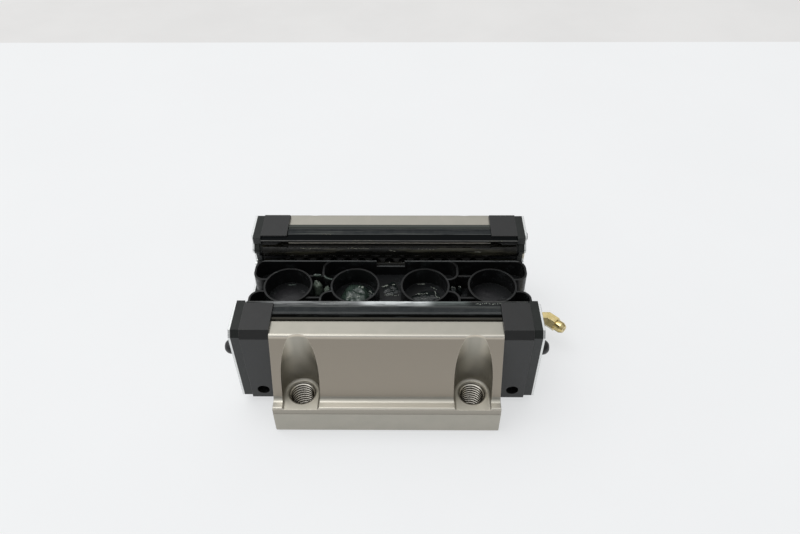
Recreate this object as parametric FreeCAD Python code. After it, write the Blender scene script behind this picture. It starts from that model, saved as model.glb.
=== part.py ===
import FreeCAD, Part
import math
import os

# A flanged linear guide block for a 45 mm rail, lying on its mounting face with the rail channel
# upwards, and the moulded jig that keeps its balls in where the rail would be.
# Millimetres. X runs along the rail, Y across it, Z up from the middle of the mounting face.

V = FreeCAD.Vector
ORIGIN = V(0, 0, 0)
ALONG = V(1, 0, 0)
ACROSS = V(0, 1, 0)
UP = V(0, 0, 1)

# Steel body
steel_length = 106.0
flange_half_width = 60.0
flange_thickness = 17.4
flange_edge = 1.0
band_height = 3.6
band_setback = 0.2
flange_top_radius = 1.2
ledge_depth = 5.8
leg_width = 20.1
leg_height = 49.6
leg_edge_radius = 1.5
foot_radius = 2.7
face_end_chamfer = 1.3
seal_land_width = 8.5
seal_seat_drop = 1.4
channel_gap = 1.0
overrun = 1.0

# Tapped mounting holes and the milled alcoves that clear their screw heads
bolt_spacing = 80.0
bolt_edge_distance = 10.0
bolt_radius = 6.0
bolt_chamfer = 0.35
alcove_radius = 8.85
alcove_offset = 0.75
alcove_depth = 0.6
alcove_fillet = 1.5

# Ball circuits: two rows in each leg, each with a return hole behind it
ball_radius = 3.175
ball_clearance = 0.17
ball_gap = 1.0
row_offset = 0.3
row_depth = 4.0
row_spacing = 10.2
turn_span = 10.4
low_turn_angle = -39.5
high_turn_angle = 0.0
race_wall_relief = 0.35
cage_hole_clearance = 0.13
cage_rim = 0.4
cage_half_thickness = 0.6
cage_clearance = 0.2
sleeve_wall = 0.5
sleeve_fit = 0.05
guide_overhang = 0.65
guide_fit = 0.1

# Ball retainer strip between the two rows of a leg
retainer_low_gap = 0.9
retainer_high_gap = 0.6
retainer_nose_offset = 0.1
retainer_nose_edge = 0.3
retainer_low_spread = 0.5
retainer_high_spread = 2.5
retainer_fit = 0.1

# Rail section that the openings follow
rail_half_width = 22.5
rail_top_z = 28.0
rail_shoulder = 3.9
rail_groove_extra = 0.225
rail_nose_setback = 0.6
rail_reach_z = 60.0

# End plates, end seals and seal plates
end_plate_thickness = 13.5
end_plate_side_gap = 0.4
end_plate_bottom_z = 3.5
end_plate_rise = 1.5
end_plate_corner = 0.5
end_plate_bevel_y = 2.45
end_plate_bevel_z = 4.1
end_plate_rail_gap = 1.4
end_seal_thickness = 3.9
end_seal_inset = 0.3
end_seal_bottom_rise = 1.4
end_seal_bevel_z = 3.0
end_seal_lip_gap = 0.2
end_seal_lip_thickness = 1.8
end_seal_lip_reach = 0.3
seal_plate_thickness = 1.0
seal_plate_rail_gap = 1.8

# Grease ports
port_z = 13.6
port_radius = 3.05
port_overrun = 2.3
port_clearance = 0.35
passage_radius = 1.5
passage_offset = 7.5
side_port_z = 9.8
side_port_radius = 3.0
side_port_depth = 4.0

# End screws
screw_inset = 3.6
screw_drop = 12.0
screw_radius = 2.0
screw_fit = 0.05
screw_hole_clearance = 0.3
screw_grip = 8.0
screw_hole_extra_depth = 2.0
screw_point = 0.7
screw_head_radius = 3.5
screw_head_height = 3.4
screw_crown_radius = 1.8
screw_dome_bulge = 0.45
screw_socket_flats = 2.5
screw_socket_depth = 1.8

# Side seals
side_seal_outer_gap = 0.6
side_seal_end_gap = 0.2
side_seal_lift = 0.05
side_seal_rise = 0.7
side_seal_lip_reach = 1.15
side_seal_lip_rise = 0.75
side_seal_lip_thickness = 0.5
side_seal_lip_root = 1.7
side_seal_crest_offset = 3.0
side_seal_crest_height = 0.15
side_seal_plate_gap = 0.1
side_seal_ridges = ((2.3, 0.6), (4.4, 0.4))
side_seal_ridge_half = 0.3
side_seal_ridge_foot = 0.7

# Grease nipple and its check valve, and the plug of the other port
nipple_thread_radius = 3.0
nipple_thread_length = 10.0
nipple_collar_flats = 9.0
nipple_collar_length = 5.0
nipple_body_flats = 6.8
nipple_elbow_reach = 12.4
nipple_head_angle = 45.0
nipple_hex_length = 5.2
nipple_groove_radius = 2.5
nipple_groove_length = 0.7
nipple_head_radius = 3.0
nipple_shoulder = 8.4
nipple_mouth_radius = 2.1
nipple_length = 10.1
nipple_bore_radius = 1.05
nipple_seat_radius = 0.6
nipple_seat_depth = 0.5
nipple_seat_taper = 0.4
valve_ball_radius = 0.85
valve_gap = 0.03
spring_wire_radius = 0.14
spring_turns = 6
spring_length = 3.0
spring_gap = 0.05
plug_length = 5.0
plug_recess = 1.0
plug_socket_flats = 3.0
plug_socket_depth = 2.6

# Mounting jig
jig_end_inset = 1.4
jig_shift = 0.8
jig_floor_gap = 0.2
jig_floor_thickness = 1.0
jig_height = 10.6
jig_side_gap = 0.3
jig_wall = 1.0
jig_rib_gap = 0.4
jig_rib_half_height = 1.4
jig_cup_radius = 12.3
jig_cup_wall = 0.9
jig_cup_inner_x = 17.65
jig_cup_end_distance = 18.55
jig_web_x = 34.4
jig_bend_radius = 5.0
jig_neck_half = 4.2
jig_bridge_y = 7.7
jig_bridge_drop = 1.0
jig_notch_half = 7.4
jig_notch_depth = 3.6

# Places that follow from the sizes above
steel_half = steel_length / 2
wall_foot_y = flange_half_width - ledge_depth
leg_outer_y = rail_half_width + leg_width
seal_seat_y = leg_outer_y - seal_land_width
seal_seat_z = leg_height - seal_seat_drop
channel_floor_z = rail_top_z - channel_gap
rail_top_half_width = rail_half_width - rail_shoulder
bolt_y = flange_half_width - bolt_edge_distance
alcove_y = bolt_y + alcove_offset
alcove_floor_z = flange_thickness - alcove_depth
row_y = rail_half_width + row_offset
low_row_z = rail_top_z + row_depth
high_row_z = low_row_z + row_spacing
retainer_nose_y = row_y + retainer_nose_offset
raceway_radius = ball_radius + ball_clearance
race_wall_y = row_y + raceway_radius + race_wall_relief
cage_hole_radius = ball_radius + cage_hole_clearance
cage_half_width = cage_hole_radius + cage_rim
tunnel_radius = math.hypot(cage_half_width, cage_half_thickness) + cage_clearance
sleeve_radius = tunnel_radius + sleeve_wall
return_radius = sleeve_radius + sleeve_fit
turn_radius = turn_span / 2
guide_half_width = tunnel_radius + guide_overhang
rail_groove_radius = ball_radius + rail_groove_extra
rail_side_z = high_row_z - row_offset + math.sqrt(2) * rail_groove_radius
end_plate_half_width = leg_outer_y + end_plate_side_gap
end_plate_top_z = leg_height + end_plate_rise
end_seal_bottom_z = end_plate_bottom_z + end_seal_bottom_rise
end_plate_x = steel_half + end_plate_thickness
end_seal_x = end_plate_x + end_seal_thickness
seal_plate_x = end_seal_x + seal_plate_thickness
passage_x = steel_half + passage_offset
screw_y = leg_outer_y - screw_inset
screw_z = leg_height - screw_drop
side_seal_top_z = leg_height + side_seal_rise
side_seal_lip_z = seal_seat_z + side_seal_lip_rise
nipple_groove_end = nipple_hex_length + nipple_groove_length
jig_half = seal_plate_x - jig_end_inset
jig_half_width = rail_top_half_width - jig_side_gap
jig_floor_z = rail_top_z + jig_floor_gap
jig_top_z = jig_floor_z + jig_height
jig_cup_outer_x = jig_half - jig_cup_end_distance


def profile(steps, place):
    """Closed wire. A step is a point, or four numbers for an arc's middle and end."""
    first = place(steps[0][0], steps[0][1])
    start = first
    edges = []
    for step in steps[1:]:
        end = place(step[-2], step[-1])
        if len(step) == 4:
            edges.append(Part.Arc(start, place(step[0], step[1]), end).toShape())
        else:
            edges.append(Part.LineSegment(start, end).toShape())
        start = end
    if not start.isEqual(first, 1e-7):
        edges.append(Part.LineSegment(start, first).toShape())
    return Part.Wire(edges)


def rounded(before, corner, after, radius):
    """Steps that round an outline's corner, given the points before and after it."""
    corner = V(*corner, 0)
    back = (V(*before, 0) - corner).normalize()
    onward = (V(*after, 0) - corner).normalize()
    half_angle = back.getAngle(onward) / 2
    start = corner + back * (radius / math.tan(half_angle))
    end = corner + onward * (radius / math.tan(half_angle))
    middle = corner + (back + onward).normalize() * (radius / math.sin(half_angle) - radius)
    return [(start.x, start.y), (middle.x, middle.y, end.x, end.y)]


def along_x(steps, x_from, x_to):
    """Prism along the rail from an outline of (y, z) steps."""
    wire = profile(steps, lambda y, z: V(x_from, y, z))
    return Part.Face(wire).extrude(ALONG * (x_to - x_from))


def upward(steps, z_from, z_to):
    """Upright prism from an outline of (x, y) steps."""
    wire = profile(steps, lambda x, y: V(x, y, z_from))
    return Part.Face(wire).extrude(UP * (z_to - z_from))


def sideways(axis):
    """A direction square to an axis."""
    side = axis.cross(UP)
    return V(ALONG) if side.Length < 1e-9 else side.normalize()


def turned(steps, centre, direction):
    """Body of revolution from (distance along the axis, radius) steps."""
    axis = V(direction).normalize()
    side = sideways(axis)
    wire = profile(steps, lambda s, r: centre + axis * s + side * r)
    return Part.Face(wire).revolve(centre, axis, 360)


def hexagon(flats, centre, direction, length):
    """Hexagonal bar of a given width across flats."""
    axis = V(direction).normalize()
    side = sideways(axis)
    top = side.cross(axis)
    radius = flats / math.sqrt(3)
    angles = [math.radians(60 * corner) for corner in range(6)]
    points = [centre + side * (radius * math.cos(a)) + top * (radius * math.sin(a)) for a in angles]
    return Part.Face(Part.makePolygon(points + points[:1])).extrude(axis * length)


def rod(radius, x_from, x_to, y, z):
    """Round bar along the rail."""
    return Part.makeCylinder(radius, x_to - x_from, V(x_from, y, z), ALONG)


def mirror_y(shape):
    return shape.mirror(ORIGIN, ACROSS)


def mirror_x(shape):
    return shape.mirror(ORIGIN, ALONG)


def both_legs(shapes):
    """The same shapes in the back leg and in the front leg."""
    return shapes + [mirror_y(shape) for shape in shapes]


def polar(y, z, radius, degrees):
    angle = math.radians(degrees)
    return (y + radius * math.cos(angle), z + radius * math.sin(angle))


class Circuit:
    """One ball loop: a loaded row, its return hole, and the two half-round turns between them."""

    def __init__(self, row_z, angle):
        self.row = V(0, row_y, row_z)
        self.toward_return = V(0, *polar(0, 0, 1, angle))
        self.normal = V(0, *polar(0, 0, 1, angle + 90))
        self.hole = self.row + self.toward_return * turn_span
        self.middle = self.row + self.toward_return * turn_radius
        self.loop_length = 2 * steel_length + 2 * math.pi * turn_radius
        self.ball_count = int(self.loop_length / (2 * ball_radius + ball_gap))

    def point(self, distance):
        """Point of the loop, from the middle of the loaded row towards +X."""
        half_turn = math.pi * turn_radius
        distance = distance % self.loop_length
        if distance < steel_half:
            return self.row + ALONG * distance
        distance -= steel_half
        if distance < half_turn:
            return self.turn_point(1, distance / turn_radius)
        distance -= half_turn
        if distance < steel_length:
            return self.hole + ALONG * (steel_half - distance)
        distance -= steel_length
        if distance < half_turn:
            return self.turn_point(-1, math.pi - distance / turn_radius)
        distance -= half_turn
        return self.row + ALONG * (distance - steel_half)

    def turn_point(self, end, angle):
        bulge = ALONG * (end * (steel_half + turn_radius * math.sin(angle)))
        return self.middle + bulge - self.toward_return * (turn_radius * math.cos(angle))

    def ball_centres(self):
        pitch = self.loop_length / self.ball_count
        return [self.point(pitch * number) for number in range(self.ball_count)]

    def balls(self):
        return Part.makeCompound([Part.makeSphere(ball_radius, centre) for centre in self.ball_centres()])

    def outward(self, centre):
        """Direction from the loop's middle line out through its belt."""
        nearest = max(-steel_half, min(steel_half, centre.x))
        return (centre - self.middle - ALONG * nearest).normalize()

    def cage_holes(self):
        """Round punches through the belt, one at each ball."""
        depth = turn_radius / 2
        punches = []
        for centre in self.ball_centres():
            out = self.outward(centre)
            punches.append(Part.makeCylinder(cage_hole_radius, 2 * depth, centre - out * depth, out))
        return punches

    def loop_wire(self, offset):
        """Racetrack outline on one edge of the cage belt, grown by the offset."""
        reach = turn_radius + offset
        corner = self.middle - self.normal * cage_half_width
        low = corner - self.toward_return * reach
        high = corner + self.toward_return * reach
        straight = ALONG * steel_half
        bulge = ALONG * (steel_half + reach)
        return Part.Wire([
            Part.LineSegment(low - straight, low + straight).toShape(),
            Part.Arc(low + straight, corner + bulge, high + straight).toShape(),
            Part.LineSegment(high + straight, high - straight).toShape(),
            Part.Arc(high - straight, corner - bulge, low - straight).toShape(),
        ])

    def turn_ring(self):
        """The bent tunnel of the turn at the +X end."""
        centre = self.middle + ALONG * steel_half
        return Part.makeTorus(turn_radius, tunnel_radius, centre, self.normal)

    def turn_drum(self, clearance):
        """Drum that the inside of the turn is formed on, at the +X end."""
        half_width = guide_half_width + clearance
        base = self.middle + ALONG * steel_half - self.normal * half_width
        return Part.makeCylinder(turn_radius + clearance, 2 * half_width, base, self.normal)


circuits = {"low": Circuit(low_row_z, low_turn_angle), "high": Circuit(high_row_z, high_turn_angle)}


def rail_half(gap):
    """Half of the rail's section, grown by a gap, with its two ball grooves."""
    radius = rail_groove_radius - gap
    nose_angle = math.degrees(math.acos((gap - rail_nose_setback) / radius))
    groove_start = 200
    flank_angle = 135
    flank = polar(row_y, high_row_z, radius, flank_angle)
    side_y = rail_half_width + gap
    return [
        (0, rail_top_z - gap),
        (rail_top_half_width + gap / 2, rail_top_z - gap),
        polar(row_y, low_row_z, radius, groove_start),
        polar(row_y, low_row_z, radius, (groove_start + nose_angle) / 2)
        + polar(row_y, low_row_z, radius, nose_angle),
        polar(row_y, high_row_z, radius, -nose_angle),
        polar(row_y, high_row_z, radius, (360 - nose_angle + flank_angle) / 2) + flank,
        (side_y, flank[1] + side_y - flank[0]),
        (side_y, rail_reach_z),
        (0, rail_reach_z),
    ]


def rail_space(gap, x_from, x_to):
    """The room that the rail takes, with a gap all round."""
    half = along_x(rail_half(gap), x_from, x_to)
    return half.fuse(mirror_y(half)).removeSplitter()


def make_block_body():
    band_z = flange_thickness - band_height
    band_y = flange_half_width - band_setback
    ledge_edge = (band_y, flange_thickness)
    wall_foot = (wall_foot_y, flange_thickness)
    wall_top = (leg_outer_y, leg_height)
    land_end = (seal_seat_y, leg_height)
    high_start = polar(row_y, high_row_z, raceway_radius, 60)
    high_end = polar(row_y, high_row_z, raceway_radius, 8)
    low_start = polar(row_y, low_row_z, raceway_radius, -8)
    low_end = polar(row_y, low_row_z, raceway_radius, -80)
    ridge_y = high_start[0] + race_wall_relief
    half = along_x([
        (0, 0),
        (flange_half_width - flange_edge, 0),
        (flange_half_width, flange_edge),
        (flange_half_width, band_z),
        (band_y, band_z + band_setback),
        *rounded((band_y, band_z), ledge_edge, wall_foot, flange_top_radius),
        *rounded(ledge_edge, wall_foot, wall_top, foot_radius),
        *rounded(wall_foot, wall_top, land_end, leg_edge_radius),
        land_end,
        (seal_seat_y, seal_seat_z),
        (ridge_y, seal_seat_z),
        (ridge_y, high_start[1] + race_wall_relief),
        high_start,
        polar(row_y, high_row_z, raceway_radius, 34) + high_end,
        (race_wall_y, high_end[1] - race_wall_relief),
        (race_wall_y, low_start[1] + race_wall_relief),
        low_start,
        polar(row_y, low_row_z, raceway_radius, -44) + low_end,
        (low_end[0] - low_end[1] + channel_floor_z, channel_floor_z),
        (0, channel_floor_z),
    ], -steel_half, steel_half)
    body = half.fuse(mirror_y(half)).removeSplitter()
    cutters = []
    for x in (-bolt_spacing / 2, bolt_spacing / 2):
        cutters += [make_alcove(x), make_bolt_hole(x)]
    for circuit in circuits.values():
        cutters.append(rod(return_radius, -steel_half, steel_half, circuit.hole.y, circuit.hole.z))
    depth = screw_grip + screw_hole_extra_depth
    tapped = rod(screw_radius + screw_fit, steel_half - depth, steel_half, screw_y, screw_z)
    cutters += [tapped, mirror_x(tapped)]
    chamfer = make_face_chamfer()
    return body.cut(both_legs(cutters) + [chamfer, mirror_x(chamfer)])


def make_face_chamfer():
    """Wedge that breaks the edge of the mounting face at the +X end."""
    outside = flange_half_width + overrun
    wire = profile([
        (steel_half - face_end_chamfer - overrun, -overrun),
        (steel_half + overrun, -overrun),
        (steel_half + overrun, face_end_chamfer + overrun),
    ], lambda x, z: V(x, -outside, z))
    return Part.Face(wire).extrude(ACROSS * (2 * outside))


def make_alcove(x):
    """U-shaped recess over a tapped hole, rounded where its wall meets its floor."""
    outside = flange_half_width + overrun
    slot = upward([
        (x - alcove_radius, outside),
        (x - alcove_radius, alcove_y),
        (x, alcove_y - alcove_radius, x + alcove_radius, alcove_y),
        (x + alcove_radius, outside),
    ], alcove_floor_z, leg_height + overrun)

    def on_floor(edge):
        box = edge.BoundBox
        return abs(box.ZMax - alcove_floor_z) < 1e-6 and box.YMin < outside - 1e-6

    return slot.makeFillet(alcove_fillet, [edge for edge in slot.Edges if on_floor(edge)])


def make_bolt_hole(x):
    """Tapping hole at its outer thread diameter, chamfered at both mouths."""
    mouth = bolt_radius + bolt_chamfer
    return turned([
        (-overrun, 0),
        (-overrun, mouth + overrun),
        (bolt_chamfer, bolt_radius),
        (alcove_floor_z - bolt_chamfer, bolt_radius),
        (alcove_floor_z, mouth),
        (alcove_floor_z + overrun, mouth),
        (alcove_floor_z + overrun, 0),
    ], V(x, bolt_y, 0), UP)


def end_outline(inset, bottom_z, bevel_z):
    """Outline of a piece of the end stack, with its bevelled upper corners."""
    side = end_plate_half_width - inset
    top = end_plate_top_z - inset
    right = [
        (side - end_plate_corner, bottom_z),
        (side, bottom_z + end_plate_corner),
        (side, top - bevel_z),
        (side - end_plate_bevel_y, top),
    ]
    return right + [(-y, z) for y, z in reversed(right)]


plate_outline = end_outline(0, end_plate_bottom_z, end_plate_bevel_z)
seal_outline = end_outline(end_seal_inset, end_seal_bottom_z, end_seal_bevel_z)


def screw_holes(x_from, x_to):
    return both_legs([rod(screw_radius + screw_hole_clearance, x_from, x_to, screw_y, screw_z)])


def make_end_plate():
    plate = along_x(plate_outline, steel_half, end_plate_x)
    cutters = [rail_space(end_plate_rail_gap, steel_half, end_plate_x)]
    for circuit in circuits.values():
        cutters += both_legs([circuit.turn_ring(), circuit.turn_drum(guide_fit)])
    cutters += screw_holes(steel_half, end_plate_x)
    cutters.append(rod(port_radius, passage_x - port_overrun, end_plate_x, 0, port_z))
    low_turn = circuits["low"].middle
    feed = low_turn.y
    cutters.append(Part.makeCylinder(passage_radius, 2 * feed, V(passage_x, -feed, port_z), ACROSS))
    rise = low_turn.z - port_z
    cutters += both_legs([Part.makeCylinder(passage_radius, rise, V(passage_x, feed, port_z), UP)])
    mouth = V(passage_x, end_plate_half_width - side_port_depth, side_port_z)
    cutters += both_legs([Part.makeCylinder(side_port_radius, side_port_depth, mouth, ACROSS)])
    return plate.cut(cutters)


def make_return_guide(circuit):
    """Inside of a ball turn: a half drum with a round groove, seated on the steel's end face."""
    room = along_x(plate_outline, steel_half, end_plate_x)
    half = circuit.turn_drum(0).common(room)
    return half.cut([circuit.turn_ring(), rail_space(end_plate_rail_gap, steel_half, end_plate_x)])


def make_end_seal():
    """Rubber plate with a lip round the rail, thickest where it wipes the rail's sides."""
    seal = along_x(seal_outline, end_plate_x, end_seal_x)
    seal = seal.cut(rail_space(end_plate_rail_gap, end_plate_x, end_seal_x))
    middle = (end_plate_x + end_seal_x) / 2
    lip_from = middle - end_seal_lip_thickness / 2
    lip_to = middle + end_seal_lip_thickness / 2
    lip = along_x(seal_outline, lip_from, lip_to)
    lip = lip.common(rail_space(end_plate_rail_gap, lip_from, lip_to))
    lip = lip.cut(rail_space(end_seal_lip_gap, lip_from, lip_to))
    lip_y = rail_half_width - end_seal_lip_reach
    wiper = Part.makeBox(
        end_seal_thickness, end_seal_lip_reach + end_plate_rail_gap + overrun,
        end_plate_top_z - end_seal_inset - rail_side_z, V(end_plate_x, lip_y, rail_side_z))
    seal = seal.fuse([lip] + both_legs([wiper])).removeSplitter()
    cutters = screw_holes(end_plate_x, end_seal_x)
    cutters.append(rod(port_radius + port_clearance, end_plate_x, end_seal_x, 0, port_z))
    return seal.cut(cutters)


def make_seal_plate():
    plate = along_x(seal_outline, end_seal_x, seal_plate_x)
    cutters = [rail_space(seal_plate_rail_gap, end_seal_x, seal_plate_x)]
    cutters += screw_holes(end_seal_x, seal_plate_x)
    cutters.append(rod(port_radius + port_clearance, end_seal_x, seal_plate_x, 0, port_z))
    return plate.cut(cutters)


def make_end_screw():
    """Round-head socket screw through the whole end stack into the steel."""
    reach = seal_plate_x - steel_half + screw_grip
    dome_radius = (screw_head_radius + screw_crown_radius) / 2 + screw_dome_bulge
    screw = turned([
        (-reach, 0),
        (-reach, screw_radius - screw_point),
        (-reach + screw_point, screw_radius),
        (0, screw_radius),
        (0, screw_head_radius),
        (screw_head_height / 2 + screw_dome_bulge, dome_radius, screw_head_height, screw_crown_radius),
        (screw_head_height, 0),
    ], V(seal_plate_x, screw_y, screw_z), ALONG)
    socket_x = seal_plate_x + screw_head_height - screw_socket_depth
    return screw.cut(hexagon(screw_socket_flats, V(socket_x, screw_y, screw_z), ALONG, screw_head_height))


def make_side_seal():
    """Seal strip on a leg's end, with its ridges. Its lip, drawn unbent, runs on past the end plates."""
    outer_y = seal_seat_y - side_seal_outer_gap
    base_z = seal_seat_z + side_seal_lift
    lip_y = rail_half_width - side_seal_lip_reach
    crest_y = rail_half_width + side_seal_crest_offset
    steps = [(outer_y, base_z), (outer_y, side_seal_top_z)]
    for inset, height in side_seal_ridges:
        ridge_y = outer_y - inset
        steps += [
            (ridge_y + side_seal_ridge_foot, side_seal_top_z),
            (ridge_y + side_seal_ridge_half, side_seal_top_z + height),
            (ridge_y - side_seal_ridge_half, side_seal_top_z + height),
            (ridge_y - side_seal_ridge_foot, side_seal_top_z),
        ]
    lip = [
        (crest_y, side_seal_top_z + side_seal_crest_height),
        (lip_y, side_seal_lip_z + side_seal_lip_thickness),
        (lip_y, side_seal_lip_z),
        (rail_half_width + side_seal_lip_root, base_z),
    ]
    steps += [(crest_y + side_seal_ridge_foot, side_seal_top_z)] + lip
    strip = along_x(steps, -steel_half + side_seal_end_gap, steel_half - side_seal_end_gap)
    reach = end_plate_x - side_seal_end_gap
    past_plates = rail_space(end_plate_rail_gap - side_seal_plate_gap, -reach, reach)
    return strip.fuse(along_x(lip, -reach, reach).common(past_plates)).removeSplitter()


def make_retainer():
    """Strip on the leg's inner wall that keeps both rows of balls from dropping out."""
    low_circuit = circuits["low"]
    belt_top = low_row_z + cage_half_width * low_circuit.normal.z
    belt_top += cage_half_thickness * abs(low_circuit.toward_return.z)
    nose_low = belt_top + retainer_low_gap
    nose_high = high_row_z - cage_half_width - retainer_high_gap
    root_y = race_wall_y - retainer_fit
    shoulder_y = retainer_nose_y + retainer_nose_edge
    return along_x([
        (root_y, nose_low - retainer_low_spread),
        (shoulder_y, nose_low),
        (retainer_nose_y, nose_low + retainer_nose_edge),
        (retainer_nose_y, nose_high - retainer_nose_edge),
        (shoulder_y, nose_high),
        (root_y, nose_high + retainer_high_spread),
    ], -steel_half, steel_half)


def make_sleeve(circuit):
    lining = rod(sleeve_radius, -steel_half, steel_half, circuit.hole.y, circuit.hole.z)
    return lining.cut(rod(tunnel_radius, -steel_half, steel_half, circuit.hole.y, circuit.hole.z))


def make_cage(circuit):
    """Endless belt with a hole for each ball."""
    outside, inside = [
        Part.Face(circuit.loop_wire(offset)).extrude(circuit.normal * (2 * cage_half_width))
        for offset in (cage_half_thickness, -cage_half_thickness)
    ]
    return outside.cut(inside).cut(circuit.cage_holes())


nipple_elbow = V(seal_plate_x + nipple_elbow_reach, 0, port_z)
nipple_aim = V(
    math.cos(math.radians(nipple_head_angle)), -math.sin(math.radians(nipple_head_angle)), 0)
valve_rest = nipple_length - nipple_seat_depth - valve_gap - math.sqrt(
    valve_ball_radius ** 2 - nipple_seat_radius ** 2)


def mitre_block(direction):
    """Block on one side of the plane where the nipple's two bars meet."""
    size = 2 * (nipple_elbow_reach + nipple_length)
    block = Part.makeBox(size, size, size, V(-size / 2, -size / 2, 0))
    block.Placement = FreeCAD.Placement(nipple_elbow, FreeCAD.Rotation(UP, direction))
    return block


def make_nipple():
    """Elbow nipple: thread, collar, mitred six-sided body, and a head with its check-valve seat."""
    thread_x = seal_plate_x - nipple_thread_length
    thread = rod(nipple_thread_radius, thread_x, seal_plate_x, 0, port_z)
    base = V(seal_plate_x, 0, port_z)
    collar = hexagon(nipple_collar_flats, base, ALONG, nipple_collar_length)
    past = nipple_body_flats
    inlet = hexagon(nipple_body_flats, base, ALONG, nipple_elbow_reach + past)
    outlet_start = nipple_elbow - nipple_aim * past
    outlet = hexagon(nipple_body_flats, outlet_start, nipple_aim, past + nipple_hex_length)
    mitre = ALONG + nipple_aim
    body = inlet.cut(mitre_block(mitre)).fuse(outlet.cut(mitre_block(-mitre)))
    head = turned([
        (0, 0),
        (0, nipple_groove_radius),
        (nipple_groove_end, nipple_groove_radius),
        (nipple_groove_end, nipple_head_radius),
        (nipple_shoulder, nipple_head_radius),
        (nipple_length, nipple_mouth_radius),
        (nipple_length, 0),
    ], nipple_elbow, nipple_aim)
    solid = thread.fuse([collar, body, head]).removeSplitter()
    bore = turned([
        (0, 0),
        (0, nipple_bore_radius),
        (nipple_length - nipple_seat_depth - nipple_seat_taper, nipple_bore_radius),
        (nipple_length - nipple_seat_depth, nipple_seat_radius),
        (nipple_length, nipple_seat_radius),
        (nipple_length, 0),
    ], nipple_elbow, nipple_aim)
    feed = rod(nipple_bore_radius, thread_x, nipple_elbow.x, 0, port_z)
    return solid.cut([bore, feed, Part.makeSphere(nipple_bore_radius, nipple_elbow)])


def make_nipple_spring():
    coil_radius = nipple_bore_radius - spring_wire_radius - spring_gap
    pitch = spring_length / spring_turns
    path = Part.makeHelix(pitch, spring_length, coil_radius)
    wire = Part.Wire(Part.makeCircle(spring_wire_radius, V(coil_radius, 0, 0), ACROSS))
    coil = Part.Wire(path.Edges).makePipeShell([wire], True, True)
    foot = valve_rest - valve_ball_radius - spring_gap - spring_wire_radius - spring_length
    turn = FreeCAD.Rotation(UP, nipple_aim)
    coil.Placement = FreeCAD.Placement(nipple_elbow + nipple_aim * foot, turn)
    return coil


def make_port_plug():
    """Set screw in the left end's grease port."""
    start = end_plate_x - plug_recess - plug_length
    plug = rod(nipple_thread_radius, start, start + plug_length, 0, port_z)
    socket_x = start + plug_length - plug_socket_depth
    return mirror_x(plug.cut(hexagon(plug_socket_flats, V(socket_x, 0, port_z), ALONG, plug_length)))


def jig_line(start, end, top):
    """Straight upright wall of the jig, between two plan points."""
    run = V(end[0] - start[0], end[1] - start[1], 0)
    side = V(-run.y, run.x, 0).normalize() * (jig_wall / 2)
    corners = [V(*start, 0) + side, V(*end, 0) + side, V(*end, 0) - side, V(*start, 0) - side]
    return upward([(corner.x, corner.y) for corner in corners], jig_floor_z, top)


def jig_bend(centre, from_degrees):
    """Quarter-round upright wall of the jig."""
    inner = jig_bend_radius - jig_wall / 2
    outer = jig_bend_radius + jig_wall / 2
    angles = (from_degrees, from_degrees + 45, from_degrees + 90)
    return upward([
        polar(*centre, inner, angles[0]),
        polar(*centre, outer, angles[0]),
        polar(*centre, outer, angles[1]) + polar(*centre, outer, angles[2]),
        polar(*centre, inner, angles[2]),
        polar(*centre, inner, angles[1]) + polar(*centre, inner, angles[0]),
    ], jig_floor_z, jig_top_z)


def jig_pinch(web_x, cup_x):
    """Cross wall that bends in to hold a cup at its neck, for the quarter at +X and +Y."""
    side_y = jig_half_width - jig_wall / 2
    bend_x = web_x - jig_bend_radius
    turn_y = jig_neck_half + jig_bend_radius
    neck_end = cup_x + math.sqrt((jig_cup_radius - jig_cup_wall / 2) ** 2 - jig_neck_half ** 2)
    return [
        jig_bend((bend_x, side_y - jig_bend_radius), 0),
        jig_line((web_x, side_y - jig_bend_radius), (web_x, turn_y), jig_top_z),
        jig_bend((bend_x, turn_y), 270),
        jig_line((bend_x, jig_neck_half), (neck_end, jig_neck_half), jig_top_z),
    ]


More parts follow.
